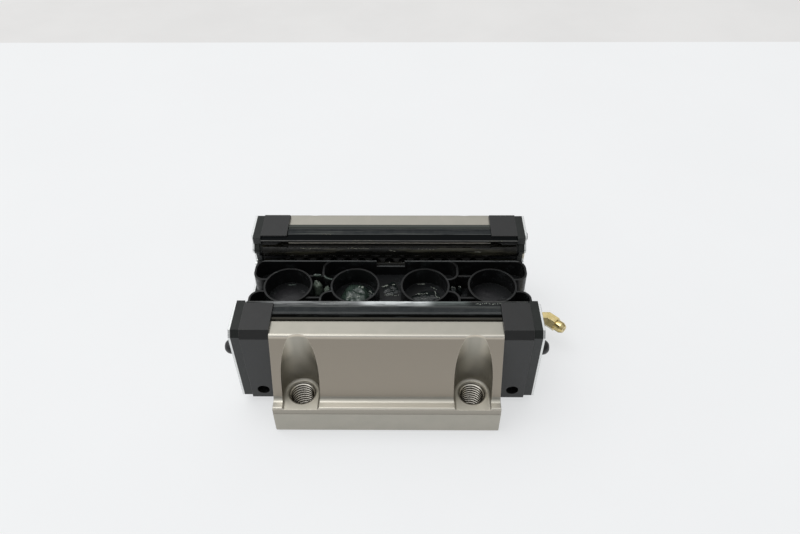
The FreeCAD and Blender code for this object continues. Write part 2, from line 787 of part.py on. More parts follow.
def make_jig():
    """Open tray of walls and cups on a thin floor, as wide as the rail's head."""
    end_x = jig_half - jig_wall / 2
    bend_x = end_x - jig_bend_radius
    side_y = jig_half_width - jig_wall / 2
    quarter = jig_pinch(end_x, jig_cup_outer_x) + jig_pinch(jig_web_x, jig_cup_inner_x)
    quarter.append(jig_line((0, side_y), (bend_x, side_y), jig_top_z))
    rib_y = row_y - ball_radius - jig_rib_gap
    quarter.append(Part.makeBox(
        bend_x, rib_y - side_y, 2 * jig_rib_half_height, V(0, side_y, low_row_z - jig_rib_half_height)))
    floor_outline = [
        (0, 0),
        (jig_cup_outer_x, 0),
        (jig_cup_outer_x, jig_neck_half),
        (bend_x, jig_neck_half),
        polar(bend_x, jig_neck_half + jig_bend_radius, jig_bend_radius, 315)
        + (end_x, jig_neck_half + jig_bend_radius),
        (end_x, side_y - jig_bend_radius),
        polar(bend_x, side_y - jig_bend_radius, jig_bend_radius, 45) + (bend_x, side_y),
        (0, side_y),
    ]
    floor_top = jig_floor_z + jig_floor_thickness
    quarter.append(upward(floor_outline, jig_floor_z, floor_top))
    cup_height = jig_top_z - jig_floor_z
    for x in (jig_cup_inner_x, jig_cup_outer_x):
        quarter.append(Part.makeCylinder(jig_cup_radius, cup_height, V(x, 0, jig_floor_z)))
    bridge_end = jig_cup_outer_x - math.sqrt((jig_cup_radius - jig_cup_wall / 2) ** 2 - jig_bridge_y ** 2)
    quarter.append(jig_line(
        (jig_web_x, jig_bridge_y), (bridge_end, jig_bridge_y), jig_top_z - jig_bridge_drop))
    half = quarter[0].fuse(quarter[1:])
    wells = [
        Part.makeCylinder(jig_cup_radius - jig_cup_wall, cup_height, V(x, 0, floor_top))
        for x in (jig_cup_inner_x, jig_cup_outer_x)
    ]
    notch = Part.makeBox(jig_notch_half, jig_half_width, jig_notch_depth,
                         V(0, jig_half_width - 2 * jig_wall, jig_top_z - jig_notch_depth))
    half = half.cut(wells + [notch])
    half = half.fuse(mirror_y(half))
    jig = half.fuse(mirror_x(half)).removeSplitter()
    jig.translate(ALONG * jig_shift)
    return jig


def save(name, shape):
    """Write one piece, and print its volume and how many solids it has."""
    shape.exportStep("parts/" + name + ".step")
    print(name, len(shape.Solids), "solids", round(shape.Volume, 1), "mm3", "valid", shape.isValid())


os.makedirs("parts", exist_ok=True)
save("block_body", make_block_body())
end_plate = make_end_plate()
end_seal = make_end_seal()
seal_plate = make_seal_plate()
guides = both_legs([make_return_guide(circuit) for circuit in circuits.values()])
end_screws = both_legs([make_end_screw()])
right_end = {
    "end_plate": end_plate,
    "end_seal": end_seal,
    "seal_plate": seal_plate,
    "return_guides": Part.makeCompound(guides),
    "end_screws": Part.makeCompound(end_screws),
}
for name, shape in right_end.items():
    save(name + "_right", shape)
    save(name + "_left", mirror_x(shape))
side_seal = make_side_seal()
retainer = make_retainer()
sleeves = Part.makeCompound([make_sleeve(circuit) for circuit in circuits.values()])
for leg, place in (("back", lambda shape: shape), ("front", mirror_y)):
    save("side_seal_" + leg, place(side_seal))
    save("ball_retainer_" + leg, place(retainer))
    save("return_sleeves_" + leg, place(sleeves))
    for level, circuit in circuits.items():
        save("balls_" + leg + "_" + level, place(circuit.balls()))
        save("ball_cage_" + leg + "_" + level, place(make_cage(circuit)))
save("grease_nipple", make_nipple())
save("nipple_ball", Part.makeSphere(valve_ball_radius, nipple_elbow + nipple_aim * valve_rest))
save("nipple_spring", make_nipple_spring())
save("port_plug", make_port_plug())
save("mounting_jig", make_jig())
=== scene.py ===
# %% [markdown]
# # A linear guide block, ready for its rail
#
# The steel carriage, its plastic ends, its seals and the moulded jig come from the CAD model as exact
# meshes. This lesson gives each of them a finish, cuts real threads into the tapped holes, and adds
# the grease that a new block is delivered with.

# %% Load the model
import math

import bpy
from mathutils import Matrix, Vector, noise
from mathutils.bvhtree import BVHTree


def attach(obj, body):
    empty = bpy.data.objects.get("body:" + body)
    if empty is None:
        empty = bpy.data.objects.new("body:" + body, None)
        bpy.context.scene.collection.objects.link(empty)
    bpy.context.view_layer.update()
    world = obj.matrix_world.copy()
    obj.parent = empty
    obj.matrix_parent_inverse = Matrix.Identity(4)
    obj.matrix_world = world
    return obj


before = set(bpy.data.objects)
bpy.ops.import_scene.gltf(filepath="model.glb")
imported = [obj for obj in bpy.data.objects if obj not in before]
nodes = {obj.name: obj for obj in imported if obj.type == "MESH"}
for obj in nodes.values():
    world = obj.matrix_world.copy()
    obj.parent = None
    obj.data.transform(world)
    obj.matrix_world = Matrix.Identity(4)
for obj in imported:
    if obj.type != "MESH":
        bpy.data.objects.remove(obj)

MM = 0.001
scene = bpy.context.scene
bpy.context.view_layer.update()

# %% [markdown]
# ## Camera
#
# The photograph looks along the rail's cross direction, about 44 degrees down. A camera could be aimed
# by eye, but then edges end up some pixels off. This view was solved from corners whose places are
# known in millimetres, so the camera is written as a place, three turns and a focal length in pixels
# of the 800 pixel wide picture.

# %% Place the camera
PICTURE_WIDTH = 800
FOCAL_PIXELS = 684.525
SENSOR_WIDTH = 36
camera_place = Vector((8.853, -243.387, 282.900)) * MM
pitch, yaw, roll = 0.76022, -0.01226, -0.00674


def camera_axes():
    """Right, up and backward directions of the camera."""
    forward = Vector((math.sin(yaw) * math.cos(pitch), math.cos(yaw) * math.cos(pitch), -math.sin(pitch)))
    right = Vector((math.cos(yaw), -math.sin(yaw), 0))
    up = right.cross(forward)
    tilted_right = right * math.cos(roll) + up * math.sin(roll)
    tilted_up = up * math.cos(roll) - right * math.sin(roll)
    return tilted_right, tilted_up, -forward


camera_data = bpy.data.cameras.new("camera")
camera_data.sensor_fit = "HORIZONTAL"
camera_data.sensor_width = SENSOR_WIDTH
camera_data.lens = FOCAL_PIXELS / PICTURE_WIDTH * SENSOR_WIDTH
camera_data.clip_start = 0.01
camera = bpy.data.objects.new("camera", camera_data)
scene.collection.objects.link(camera)
camera.matrix_world = Matrix.Translation(camera_place) @ Matrix(camera_axes()).transposed().to_4x4()
scene.camera = camera
print("lens", round(camera_data.lens, 2), "mm")

# %% [markdown]
# ## Node helpers
#
# A finish is a small network of nodes. It could be wired by hand in the shader editor, but a script
# gives the same network each time. A few helpers keep the script short: one adds a node and sets its
# values, and one makes a node group with named sockets. Effects that several finishes share are
# groups, so that each finish only gives its own values.


# %% Helpers for nodes
def feed(tree, socket, value):
    """Link another socket to this one, or set a plain value."""
    if isinstance(value, bpy.types.NodeSocket):
        tree.links.new(value, socket)
    else:
        socket.default_value = value


def add(tree, kind, inputs=None, **settings):
    """New node. Inputs are values or sockets, by name or number."""
    node = tree.nodes.new("ShaderNode" + kind)
    for name, value in settings.items():
        setattr(node, name, value)
    for key, value in (inputs or {}).items():
        feed(tree, node.inputs[key], value)
    return node


def math_node(tree, operation, *values):
    return add(tree, "Math", dict(enumerate(values)), operation=operation).outputs[0]


print("node helpers ready")


# %% Helpers for groups
def new_group(name, inputs, outputs):
    """Empty node group, with its input and output nodes."""
    tree = bpy.data.node_groups.new(name, "ShaderNodeTree")
    for label, kind, value in inputs:
        socket = tree.interface.new_socket(label, in_out="INPUT", socket_type="NodeSocket" + kind)
        if value is not None:
            socket.default_value = value
    for label, kind in outputs:
        tree.interface.new_socket(label, in_out="OUTPUT", socket_type="NodeSocket" + kind)
    return tree, tree.nodes.new("NodeGroupInput").outputs, tree.nodes.new("NodeGroupOutput").inputs


def use(tree, group, **values):
    """Place a group in a material, with values for its named sockets."""
    node = tree.nodes.new("ShaderNodeGroup")
    node.node_tree = group
    for key, value in values.items():
        feed(tree, node.inputs[key], value)
    return node.outputs


print("group helpers ready")


# %% Colours
def tone(red, green, blue):
    """Colour as a picture editor gives it, from 0 to 255, as linear light."""
    channels = [value / 255 for value in (red, green, blue)]
    return [c / 12.92 if c <= 0.04045 else ((c + 0.055) / 1.055) ** 2.4 for c in channels] + [1]


print("middle grey in linear light", round(tone(128, 128, 128)[0], 3))

# %% [markdown]
# ## Shared effects
#
# **Two tones** drifts softly between two colours, because no real surface is one flat colour.
# **Ground lines** are the fine streaks that a grinding wheel leaves along the block.
# **Moulded grain** is the faint spark texture of a plastic mould.
# **Grease film** says where a thin coat of grease lies, in long smears and small dabs.
# ** Soft edge** rounds the shading of sharp CAD edges, so that they catch light, and marks them for a painted highlight.
#
# Pictures could give the same, but noise needs no file, has no seams and can be set to any scale.

# %% Two tones
DRIFT_FROM, DRIFT_TO = 0.3, 0.7

two_tones, given, result = new_group(
    "Two tones", [("First", "Color", None), ("Second", "Color", None), ("Size", "Float", 300.0)],
    [("Color", "Color"), ("Mask", "Float")])
place = add(two_tones, "TexCoord").outputs["Object"]
patches = add(two_tones, "TexNoise", {
    "Vector": place, "Scale": given["Size"], "Detail": 5.0, "Roughness": 0.6}).outputs[0]
drift = add(two_tones, "MapRange", {
    0: patches, 1: DRIFT_FROM, 2: DRIFT_TO}, interpolation_type="SMOOTHSTEP").outputs[0]
blend = add(two_tones, "Mix", {
    0: drift, 6: given["First"], 7: given["Second"]}, data_type="RGBA").outputs[2]
two_tones.links.new(blend, result["Color"])
two_tones.links.new(drift, result["Mask"])
print(two_tones.name, len(two_tones.nodes), "nodes")

# %% Ground lines
LINE_SHRINK = 0.012

ground_lines, given, result = new_group(
    "Ground lines", [("Fineness", "Float", 9000.0)], [("Height", "Float"), ("Mask", "Float")])
place = add(ground_lines, "TexCoord").outputs["Object"]
along = add(ground_lines, "VectorMath", {
    0: place, 1: (LINE_SHRINK, 1.0, 1.0)}, operation="MULTIPLY").outputs[0]
streaks = add(ground_lines, "TexNoise", {"Vector": along, "Scale": given["Fineness"], "Detail": 3.0})
ground_lines.links.new(streaks.outputs[0], result["Height"])
ground_lines.links.new(math_node(ground_lines, "POWER", streaks.outputs[0], 2.0), result["Mask"])
print(ground_lines.name, len(ground_lines.nodes), "nodes")

# %% Moulded grain
CLOUD_SIZE = 700.0

moulded_grain, given, result = new_group(
    "Moulded grain", [("Fineness", "Float", 5000.0)], [("Height", "Float"), ("Mask", "Float")])
place = add(moulded_grain, "TexCoord").outputs["Object"]
pits = add(moulded_grain, "TexVoronoi", {"Vector": place, "Scale": given["Fineness"]}, feature="SMOOTH_F1")
cloud = add(moulded_grain, "TexNoise", {"Vector": place, "Scale": CLOUD_SIZE, "Detail": 4.0})
moulded_grain.links.new(pits.outputs["Distance"], result["Height"])
moulded_grain.links.new(cloud.outputs[0], result["Mask"])
print(moulded_grain.name, len(moulded_grain.nodes), "nodes")

# %% Grease film
DRY, REACH, FADE = 0.78, 0.5, 0.12

grease_film, given, result = new_group(
    "Grease film", [("Amount", "Float", 0.5), ("Length", "Float", 0.15), ("Size", "Float", 260.0)],
    [("Mask", "Float"), ("Height", "Float")])
place = add(grease_film, "TexCoord").outputs["Object"]
long = add(grease_film, "CombineXYZ", {0: given["Length"], 1: 1.0, 2: 1.0}).outputs[0]
smeared = add(grease_film, "VectorMath", {0: place, 1: long}, operation="MULTIPLY").outputs[0]
smears = add(grease_film, "TexNoise", {
    "Vector": smeared, "Scale": given["Size"], "Detail": 6.0, "Roughness": 0.62}).outputs[0]
low = math_node(grease_film, "SUBTRACT", DRY, math_node(grease_film, "MULTIPLY", given["Amount"], REACH))
high = math_node(grease_film, "ADD", low, FADE)
cover = add(grease_film, "MapRange", {
    0: smears, 1: low, 2: high}, interpolation_type="SMOOTHSTEP").outputs[0]
grease_film.links.new(cover, result["Mask"])
grease_film.links.new(math_node(grease_film, "MULTIPLY", cover, smears), result["Height"])
print(grease_film.name, len(grease_film.nodes), "nodes")

# %% Soft edge
EDGE_STARTS, EDGE_FULL = 0.99, 0.75

soft_edge, given, result = new_group(
    "Soft edge", [("Radius", "Float", 0.0003)], [("Normal", "Vector"), ("Mask", "Float")])
rounded = add(soft_edge, "Bevel", {"Radius": given["Radius"]}, samples=4).outputs[0]
flat = add(soft_edge, "NewGeometry").outputs["Normal"]
same = add(soft_edge, "VectorMath", {0: rounded, 1: flat}, operation="DOT_PRODUCT").outputs["Value"]
turned = add(soft_edge, "MapRange", {0: same, 1: EDGE_STARTS, 2: EDGE_FULL}).outputs[0]
soft_edge.links.new(rounded, result["Normal"])
soft_edge.links.new(turned, result["Mask"])
print(soft_edge.name, len(soft_edge.nodes), "nodes")

# %% [markdown]
# ## Metals
#
# The block is hardened steel, ground along its length, with a satin, slightly warm finish. A metal has
# almost no colour of its own beyond what it mirrors, so the look depends on the roughness: fine lines
# break the reflection, and the edges are a little brighter where they were deburred, with a painted
# highlight along them.
#
# The block's faces were not all worked alike, and light and shade fall on them unevenly, so part of
# their colour is painted light and painted shade. Each kind could be a material of its own, but the
# CAD piece is one mesh with one slot, so the place of a point and the way that its face looks decide.


# %% Steps of a finish
def new_material(name, **constant):
    """Material with a Principled shader. Constant values are set on the shader's own sockets."""
    material = bpy.data.materials.new(name)
    material.use_nodes = True
    tree = material.node_tree
    shader = tree.nodes["Principled BSDF"]
    for key, value in constant.items():
        shader.inputs[key.replace("_", " ")].default_value = value
    return material, tree, shader.inputs


def mix_colour(tree, amount, first, second):
    return add(tree, "Mix", {0: amount, 6: first, 7: second}, data_type="RGBA").outputs[2]


def both(tree, first, *others):
    """Product of masks, which is 1 only where all of them are."""
    for other in others:
        first = math_node(tree, "MULTIPLY", first, other)
    return first


def span(tree, value, low, high):
    """Spread a mask from 0 to 1 over a range."""
    return add(tree, "MapRange", {0: value, 3: low, 4: high}).outputs[0]


def step_up(tree, value, low, high):
    """0 below a low value and 1 above a high one. With low above high, the other way round."""
    return add(tree, "MapRange", {0: value, 1: low, 2: high}).outputs[0]


def positive(tree, value):
    return math_node(tree, "ABSOLUTE", value)


def band(tree, value, middle, width, soft):
    """1 within a width round a middle value, fading to 0 over a soft edge."""
    off = positive(tree, math_node(tree, "SUBTRACT", value, middle))
    limits = {0: off, 1: width + soft, 2: width}
    return add(tree, "MapRange", limits, interpolation_type="SMOOTHSTEP").outputs[0]


def bump(tree, height, depth, normal):
    return add(tree, "Bump", {"Height": height, "Distance": depth, "Normal": normal}).outputs[0]


print("steps of a finish ready")

# %% Places and faces
HOLE_X, HOLE_Y = 40.0, 50.0


def place_parts(tree):
    """Separate X, Y and Z of a point on the piece, in metres."""
    place = add(tree, "TexCoord").outputs["Object"]
    return add(tree, "SeparateXYZ", {0: place}).outputs


def normal_parts(tree):
    """Separate X, Y and Z of the way that a face looks."""
    normal = add(tree, "NewGeometry").outputs["Normal"]
    return add(tree, "SeparateXYZ", {0: normal}).outputs


def face_up(tree):
    """How far a face looks up or down: 0 for an upright face and 1 for a level one."""
    return positive(tree, normal_parts(tree)[2])


def hole_distance(tree):
    """Distance from the axis of the nearest tapped hole, in metres."""
    place = place_parts(tree)
    off_x = math_node(tree, "SUBTRACT", positive(tree, place[0]), HOLE_X * MM)
    off_y = math_node(tree, "SUBTRACT", positive(tree, place[1]), HOLE_Y * MM)
    off = add(tree, "CombineXYZ", {0: off_x, 1: off_y, 2: 0.0}).outputs[0]
    return add(tree, "VectorMath", {0: off}, operation="LENGTH").outputs["Value"]


print("tapped holes at", HOLE_X, HOLE_Y, "mm from the middle")

# %% Worked faces of the block, with painted light and shade
# How far up a face looks: two values start and fill an effect, three are its middle, width and soft edge.
SLOPING = 0.34, 0.05, 0.1
LEVEL = 0.93, 0.99
FLANGE_ROUNDING = 0.62, 0.13, 0.1
LEG_ROUNDING = 0.66, 0.24, 0.06
WALL = 0.5, 0.4
UPRIGHT = 0.2, 0.1
SIDEWAYS = 0.25, 0.7
# Places in metres, in the same way: height over the mounting face, or distance from the block's middle.
PAD_BELOW = 0.0195, 0.0185
FLANGE_EDGE_ABOVE, FLANGE_EDGE_PAST = (0.0153, 0.0156), (0.0565, 0.057)
LEG_EDGE_ABOVE = 0.044, 0.045
WALL_TOP_ABOVE = 0.0476, 0.0488
ALCOVE_TOP_ABOVE, ALCOVE_PAST = (0.0345, 0.0395), (0.033, 0.034)
FRONT_PAST, FRONT_LINE = (0.0590, 0.0595), (0.0150, 0.0011, 0.0003)
HOLE_RIM_SHADE, RIM_SHADE_SHARE = (0.00685, 0.0066), 0.6


def worked_and_lit_faces(tree, colour):
    """Steel of the block. Sloping walls are darker, partly a duller finish and partly painted shade; level
    milled faces are lighter, partly painted light. Rounded edges, wall tops and alcove tops get a painted
    highlight, and a band on the front and a ring round each hole a painted shade.
    """
    place, looks = place_parts(tree), normal_parts(tree)
    across, height = positive(tree, place[1]), place[2]
    level, sideways = positive(tree, looks[2]), positive(tree, looks[0])
    low = step_up(tree, height, *PAD_BELOW)
    # Painted light and shade: highlights on rounded edges, wall tops and alcove tops, shade on the front
    # band and round each hole's mouth; the sloping and milled tones are partly finish, partly painted
    # light.
    sloping = band(tree, level, *SLOPING)
    milled_and_lit = both(tree, low, step_up(tree, level, *LEVEL))
    flange_edge_highlight = both(tree, step_up(tree, across, *FLANGE_EDGE_PAST),
                       step_up(tree, height, *FLANGE_EDGE_ABOVE), band(tree, level, *FLANGE_ROUNDING))
    leg_edge_highlight = both(tree, step_up(tree, height, *LEG_EDGE_ABOVE), band(tree, level, *LEG_ROUNDING))
    wall_top_highlight = both(tree, step_up(tree, level, *WALL), step_up(tree, height, *WALL_TOP_ABOVE))
    alcove_top_highlight = both(tree, step_up(tree, level, *UPRIGHT), step_up(tree, height, *ALCOVE_TOP_ABOVE),
                      step_up(tree, across, *ALCOVE_PAST), step_up(tree, sideways, *SIDEWAYS))
    front_band_shade = both(tree, step_up(tree, across, *FRONT_PAST), band(tree, height, *FRONT_LINE))
    rim = both(tree, low, step_up(tree, hole_distance(tree), *HOLE_RIM_SHADE), RIM_SHADE_SHARE)
    lit_and_shaded_zones = [(sloping, tone(161, 153, 141)), (milled_and_lit, tone(204, 200, 189)),
             (flange_edge_highlight, tone(226, 220, 208)), (leg_edge_highlight, tone(222, 217, 206)),
             (wall_top_highlight, tone(222, 213, 198)), (alcove_top_highlight, tone(217, 211, 198)),
             (front_band_shade, tone(160, 155, 145)), (rim, tone(110, 105, 95))]
    for mask, zone_tone in lit_and_shaded_zones:
        colour = mix_colour(tree, mask, colour, zone_tone)
    return colour


print("alcoves lighten from", round(ALCOVE_TOP_ABOVE[0] / MM, 1), "mm up")

# %% Metal finishes
# Deburred edges are lightened towards this tone: a painted highlight along the wear.
DEBURRED_HIGHLIGHT, DEBURRED_HIGHLIGHT_SHARE = tone(225, 222, 212), 0.35
LOOKS_DOWN = 0.05, -0.35


def metal(name, first, second, low, high, lines=9000.0, depth=0.000004, edge=0.0003, size=120.0,
          worked_and_lit=False, shade_under=None):
    """Metal finish between two colours and two roughnesses, with a painted shade on faces that look down
    and a painted highlight on deburred edges.
    """
    material, tree, shader = new_material(name, Metallic=1.0)
    colour = use(tree, two_tones, First=first, Second=second, Size=size)["Color"]
    if worked_and_lit:
        colour = worked_and_lit_faces(tree, colour)
    if shade_under:
        # Faces that look down get a darker tone, a painted shade.
        colour = mix_colour(tree, step_up(tree, normal_parts(tree)[2], *LOOKS_DOWN), colour, shade_under)
    marks = use(tree, ground_lines, Fineness=lines)
    edges = use(tree, soft_edge, Radius=edge)
    worn_and_lit = mix_colour(tree, both(tree, edges["Mask"], DEBURRED_HIGHLIGHT_SHARE), colour, DEBURRED_HIGHLIGHT)
    tree.links.new(worn_and_lit, shader["Base Color"])
    tree.links.new(span(tree, marks["Mask"], low, high), shader["Roughness"])
    tree.links.new(bump(tree, marks["Height"], depth, edges["Normal"]), shader["Normal"])
    return material


ground_steel = metal("ground_steel", tone(175, 171, 161), tone(170, 167, 157), 0.36, 0.46, edge=0.0004,
                     worked_and_lit=True)
plate_steel = metal("plate_steel", tone(232, 233, 232), tone(222, 224, 224), 0.24, 0.38)
ball_steel = metal("ball_steel", tone(205, 205, 203), tone(196, 196, 194), 0.08, 0.14, depth=0.0000005)
spring_steel = metal("spring_steel", tone(190, 190, 186), tone(176, 176, 172), 0.2, 0.3, edge=0.00005)
brass = metal("brass", tone(226, 208, 156), tone(204, 184, 124), 0.1, 0.22, edge=0.00025, size=500.0,
              shade_under=tone(140, 128, 76))
print("ground steel", len(ground_steel.node_tree.nodes), "nodes")

# %% [markdown]
# ## Plastics, rubber and black screws
#
# The end plates are black plastic with a fine moulded grain. The seals are greenish black rubber. The
# jig and the strips between the balls are black too, and they shine where grease has been wiped over
# them. The screws have a black oxide skin. One flat black would make them all run together, so each
# gets its own depth of black, its own gloss and slightly worn edges, which are lightened as a painted
# highlight. On the end plates and seals, upright faces get a lighter tone, a painted light.

# %% Black finish
# Worn edges are lightened towards this tone: a painted highlight besides the wear.
EDGE_WEAR_AND_HIGHLIGHT = tone(110, 110, 108)
STANDS_UP = 0.4, 0.2
FILM_SHARE, FILM_DEPTH, WET_ROUGHNESS = 0.6, 0.00012, 0.16


def black(name, first, second, low, high, grain=5000.0, depth=0.000006, edge=0.00025, edge_wear_and_highlight=0.22,
          film=0.0, film_colour=None, film_length=0.15, size=180.0, gloss=0.5, upright=None, painted_light=None):
    """Dark finish, with a film of grease where there is one, a lighter tone on upright faces as painted
    light, and worn edges lightened as a painted highlight.
    """
    material, tree, shader = new_material(name, Specular_IOR_Level=gloss)
    colour = use(tree, two_tones, First=first, Second=second, Size=size)["Color"]
    if upright:
        # Upright faces get a lighter tone, a painted light.
        colour = mix_colour(tree, step_up(tree, face_up(tree), *STANDS_UP), colour, upright)
    if painted_light:
        colour = painted_light(tree, colour)
    texture = use(tree, moulded_grain, Fineness=grain)
    edges = use(tree, soft_edge, Radius=edge)
    colour = mix_colour(tree, both(tree, edges["Mask"], edge_wear_and_highlight), colour, EDGE_WEAR_AND_HIGHLIGHT)
    roughness = span(tree, texture["Mask"], low, high)
    normal = bump(tree, texture["Height"], depth, edges["Normal"])
    if film:
        grease = use(tree, grease_film, Amount=film, Length=film_length)
        colour = mix_colour(tree, both(tree, grease["Mask"], FILM_SHARE), colour, film_colour)
        roughness = add(tree, "Mix", {0: grease["Mask"], 2: roughness, 3: WET_ROUGHNESS}).outputs[0]
        normal = bump(tree, grease["Height"], FILM_DEPTH, normal)
    tree.links.new(colour, shader["Base Color"])
    tree.links.new(roughness, shader["Roughness"])
    tree.links.new(normal, shader["Normal"])
    return material


end_plate_plastic = black("end_plate_plastic", tone(24, 24, 24), tone(20, 20, 20), 0.38, 0.52, edge_wear_and_highlight=0.55,
                          edge=0.0004, upright=tone(40, 41, 42))
seal_rubber = black("seal_rubber", tone(20, 25, 22), tone(13, 17, 15), 0.36, 0.6, grain=3500.0, gloss=0.35,
                    upright=tone(54, 56, 56))
dark_steel = black("dark_steel", tone(30, 30, 31), tone(22, 22, 23), 0.25, 0.4, grain=9000.0,
                   depth=0.000002)
print("ends, seals and screws ready")

# %% Jig and inner plastics
LEVEL_TOP = 0.9, 0.95
JIG_FLOOR_BELOW = 0.030, 0.0295
LONG_WALL_PAST, LONG_WALL_ABOVE = (0.0172, 0.0175), (0.034, 0.035)


def jig_lit_faces(tree, colour):
    """The jig's floor and the tops of its long walls are a little lighter, a painted light in the shade of
    the legs.
    """
    place, level = place_parts(tree), step_up(tree, face_up(tree), *LEVEL_TOP)
    floor = both(tree, level, step_up(tree, place[2], *JIG_FLOOR_BELOW))
    colour = mix_colour(tree, floor, colour, tone(26, 27, 28))
    lit_long_wall = both(tree, level, step_up(tree, positive(tree, place[1]), *LONG_WALL_PAST),
                     step_up(tree, place[2], *LONG_WALL_ABOVE))
    return mix_colour(tree, lit_long_wall, colour, tone(84, 86, 86))


jig_plastic = black("jig_plastic", tone(20, 21, 21), tone(15, 15, 16), 0.28, 0.45, edge_wear_and_highlight=0.3, edge=0.00015,
                    film=0.5, film_colour=tone(44, 47, 48), film_length=0.6, gloss=0.28, painted_light=jig_lit_faces)
retainer_plastic = black("retainer_plastic", tone(32, 31, 28), tone(24, 23, 21), 0.3, 0.45, edge_wear_and_highlight=0.1,
                         film=0.6, film_colour=tone(40, 38, 30), gloss=0.3)
inner_resin = black("inner_resin", tone(36, 34, 31), tone(28, 27, 25), 0.35, 0.5, edge_wear_and_highlight=0.1, gloss=0.3)
print("jig plastic", len(jig_plastic.node_tree.nodes), "nodes")

# %% [markdown]
# ## The two sealing strips
#
# Each leg ends in a ribbed rubber strip, whose lip slopes down to the rail's side. The flats are matt,
# and their grey is a painted sheen; the lip is wet, and its dark is a painted shade. Grease was wiped
# along it. Thin lines along the crest, the tip and the ribs are painted highlights and painted shade.
# On the front strip, the wiped grease is white in the middle of the block, partly a painted highlight.
# The colours could be painted on as a picture, but all of them run along the strip, so the distance
# from the middle of the block decides the colour.

# %% Strip finish
CREST_Y, LIP_Y, LIP_Z = 0.0255, 0.02135, 0.0494
HAIR = 0.0001
LINE_SOFT = 0.0003
CREST_HIGHLIGHT, CREST_HIGHLIGHT_SHARE = (CREST_Y + 0.0002, 0.00012, 0.0002), 0.5
TIP_HIGHLIGHT = LIP_Y, 0.00035, 0.0003
WIPED_FULL, WIPED_START, WIPED_SOFT = LIP_Y + 0.0012, 0.15, 0.6
LINE_BREAKS, TIP_BREAKS, WIPED_BREAKS = (0.6, 1.0), (0.5, 0.9), (0.45, 1.0)
STREAK_SHARE = 0.5
MATT, WET = 0.5, 0.25
STRIP_EDGE, STRIP_DEPTH = 0.0001, 0.0002


def strip_rubber(name, lip_shade_tone, streak_tone, lines, wiped_grease_and_glint, amount):
    """Rubber strip, its flats grey as a painted sheen and its lip dark as a painted shade. Lines are
    painted highlight and shade lines: places across it, half widths and colours. Wiped grease and glint is
    the same along X.
    """
    material, tree, shader = new_material(name, Specular_IOR_Level=0.02)
    place = place_parts(tree)
    across = positive(tree, place[1])
    colour = use(tree, two_tones, First=tone(55, 57, 58), Second=tone(46, 49, 50), Size=220.0)["Color"]
    streaks = use(tree, grease_film, Amount=0.45, Length=0.03, Size=700.0)["Mask"]
    colour = mix_colour(tree, both(tree, streaks, STREAK_SHARE), colour, streak_tone)
    broken = use(tree, grease_film, Amount=0.9, Length=0.12, Size=500.0)["Mask"]
    # Painted highlight and shade lines across the strip.
    for middle, width, painted_line_tone in lines:
        painted_line = both(tree, band(tree, across, middle, width, LINE_SOFT), span(tree, broken, *LINE_BREAKS))
        colour = mix_colour(tree, painted_line, colour, painted_line_tone)
    lip = step_up(tree, across, CREST_Y + HAIR, CREST_Y - HAIR)
    colour = mix_colour(tree, lip, colour, lip_shade_tone)
    # Painted highlights along the crest and along the lip's tip.
    crest = both(tree, band(tree, across, *CREST_HIGHLIGHT), CREST_HIGHLIGHT_SHARE, broken)
    colour = mix_colour(tree, crest, colour, tone(108, 110, 108))
    tip_highlight = both(tree, band(tree, across, *TIP_HIGHLIGHT), step_up(tree, place[2], LIP_Z - HAIR, LIP_Z))
    colour = mix_colour(tree, both(tree, tip_highlight, span(tree, broken, *TIP_BREAKS)), colour, tone(98, 98, 96))
    film = use(tree, grease_film, Amount=amount, Length=0.12, Size=620.0)
    fade = add(tree, "MapRange", {0: across, 1: CREST_Y, 2: WIPED_FULL, 3: WIPED_START, 4: 1.0}).outputs[0]
    # Wiped grease along the lip, its white on the front strip partly a painted highlight.
    for middle, width, grease_and_glint_tone in wiped_grease_and_glint:
        here = both(tree, lip, fade, band(tree, place[0], middle, width, width * WIPED_SOFT))
        cover = both(tree, span(tree, film["Mask"], *WIPED_BREAKS), here)
        colour = mix_colour(tree, cover, colour, grease_and_glint_tone)
    tree.links.new(colour, shader["Base Color"])
    tree.links.new(span(tree, film["Mask"], MATT, WET), shader["Roughness"])
    edges = use(tree, soft_edge, Radius=STRIP_EDGE)
    tree.links.new(bump(tree, film["Height"], STRIP_DEPTH, edges["Normal"]), shader["Normal"])
    return material


print("crest", round(CREST_Y / MM, 2), "mm and lip", round(LIP_Y / MM, 2), "mm from the middle")

# %% Strips
# The lines are painted light and shade: a lighter band over the back strip's ribs; on the front strip a
# light line, a black groove and a brownish edge.
back_strip = strip_rubber("back_strip", tone(16, 18, 19), tone(112, 114, 108),
                          [(0.0322, 0.0019, tone(76, 79, 76))], [], 0.3)
front_strip = strip_rubber(
    "front_strip", tone(44, 46, 46), tone(72, 74, 71),
    [(0.0296, 0.0002, tone(84, 86, 86)), (0.0315, 0.0006, tone(9, 9, 8)),
     (0.0332, 0.0007, tone(66, 64, 58))],
    [(-0.032, 0.02, tone(138, 140, 140)), (0.026, 0.009, tone(104, 110, 108)),
     (0.004, 0.012, tone(216, 220, 220))], 0.75)
print(back_strip.name, front_strip.name)

# %% [markdown]
# ## Hand the finishes out
#
# A CAD piece keeps its mesh, and only the material in its slot changes. Thirty pieces could be set one
# by one, but pieces of a kind share the start of their name, so the name of the piece decides.

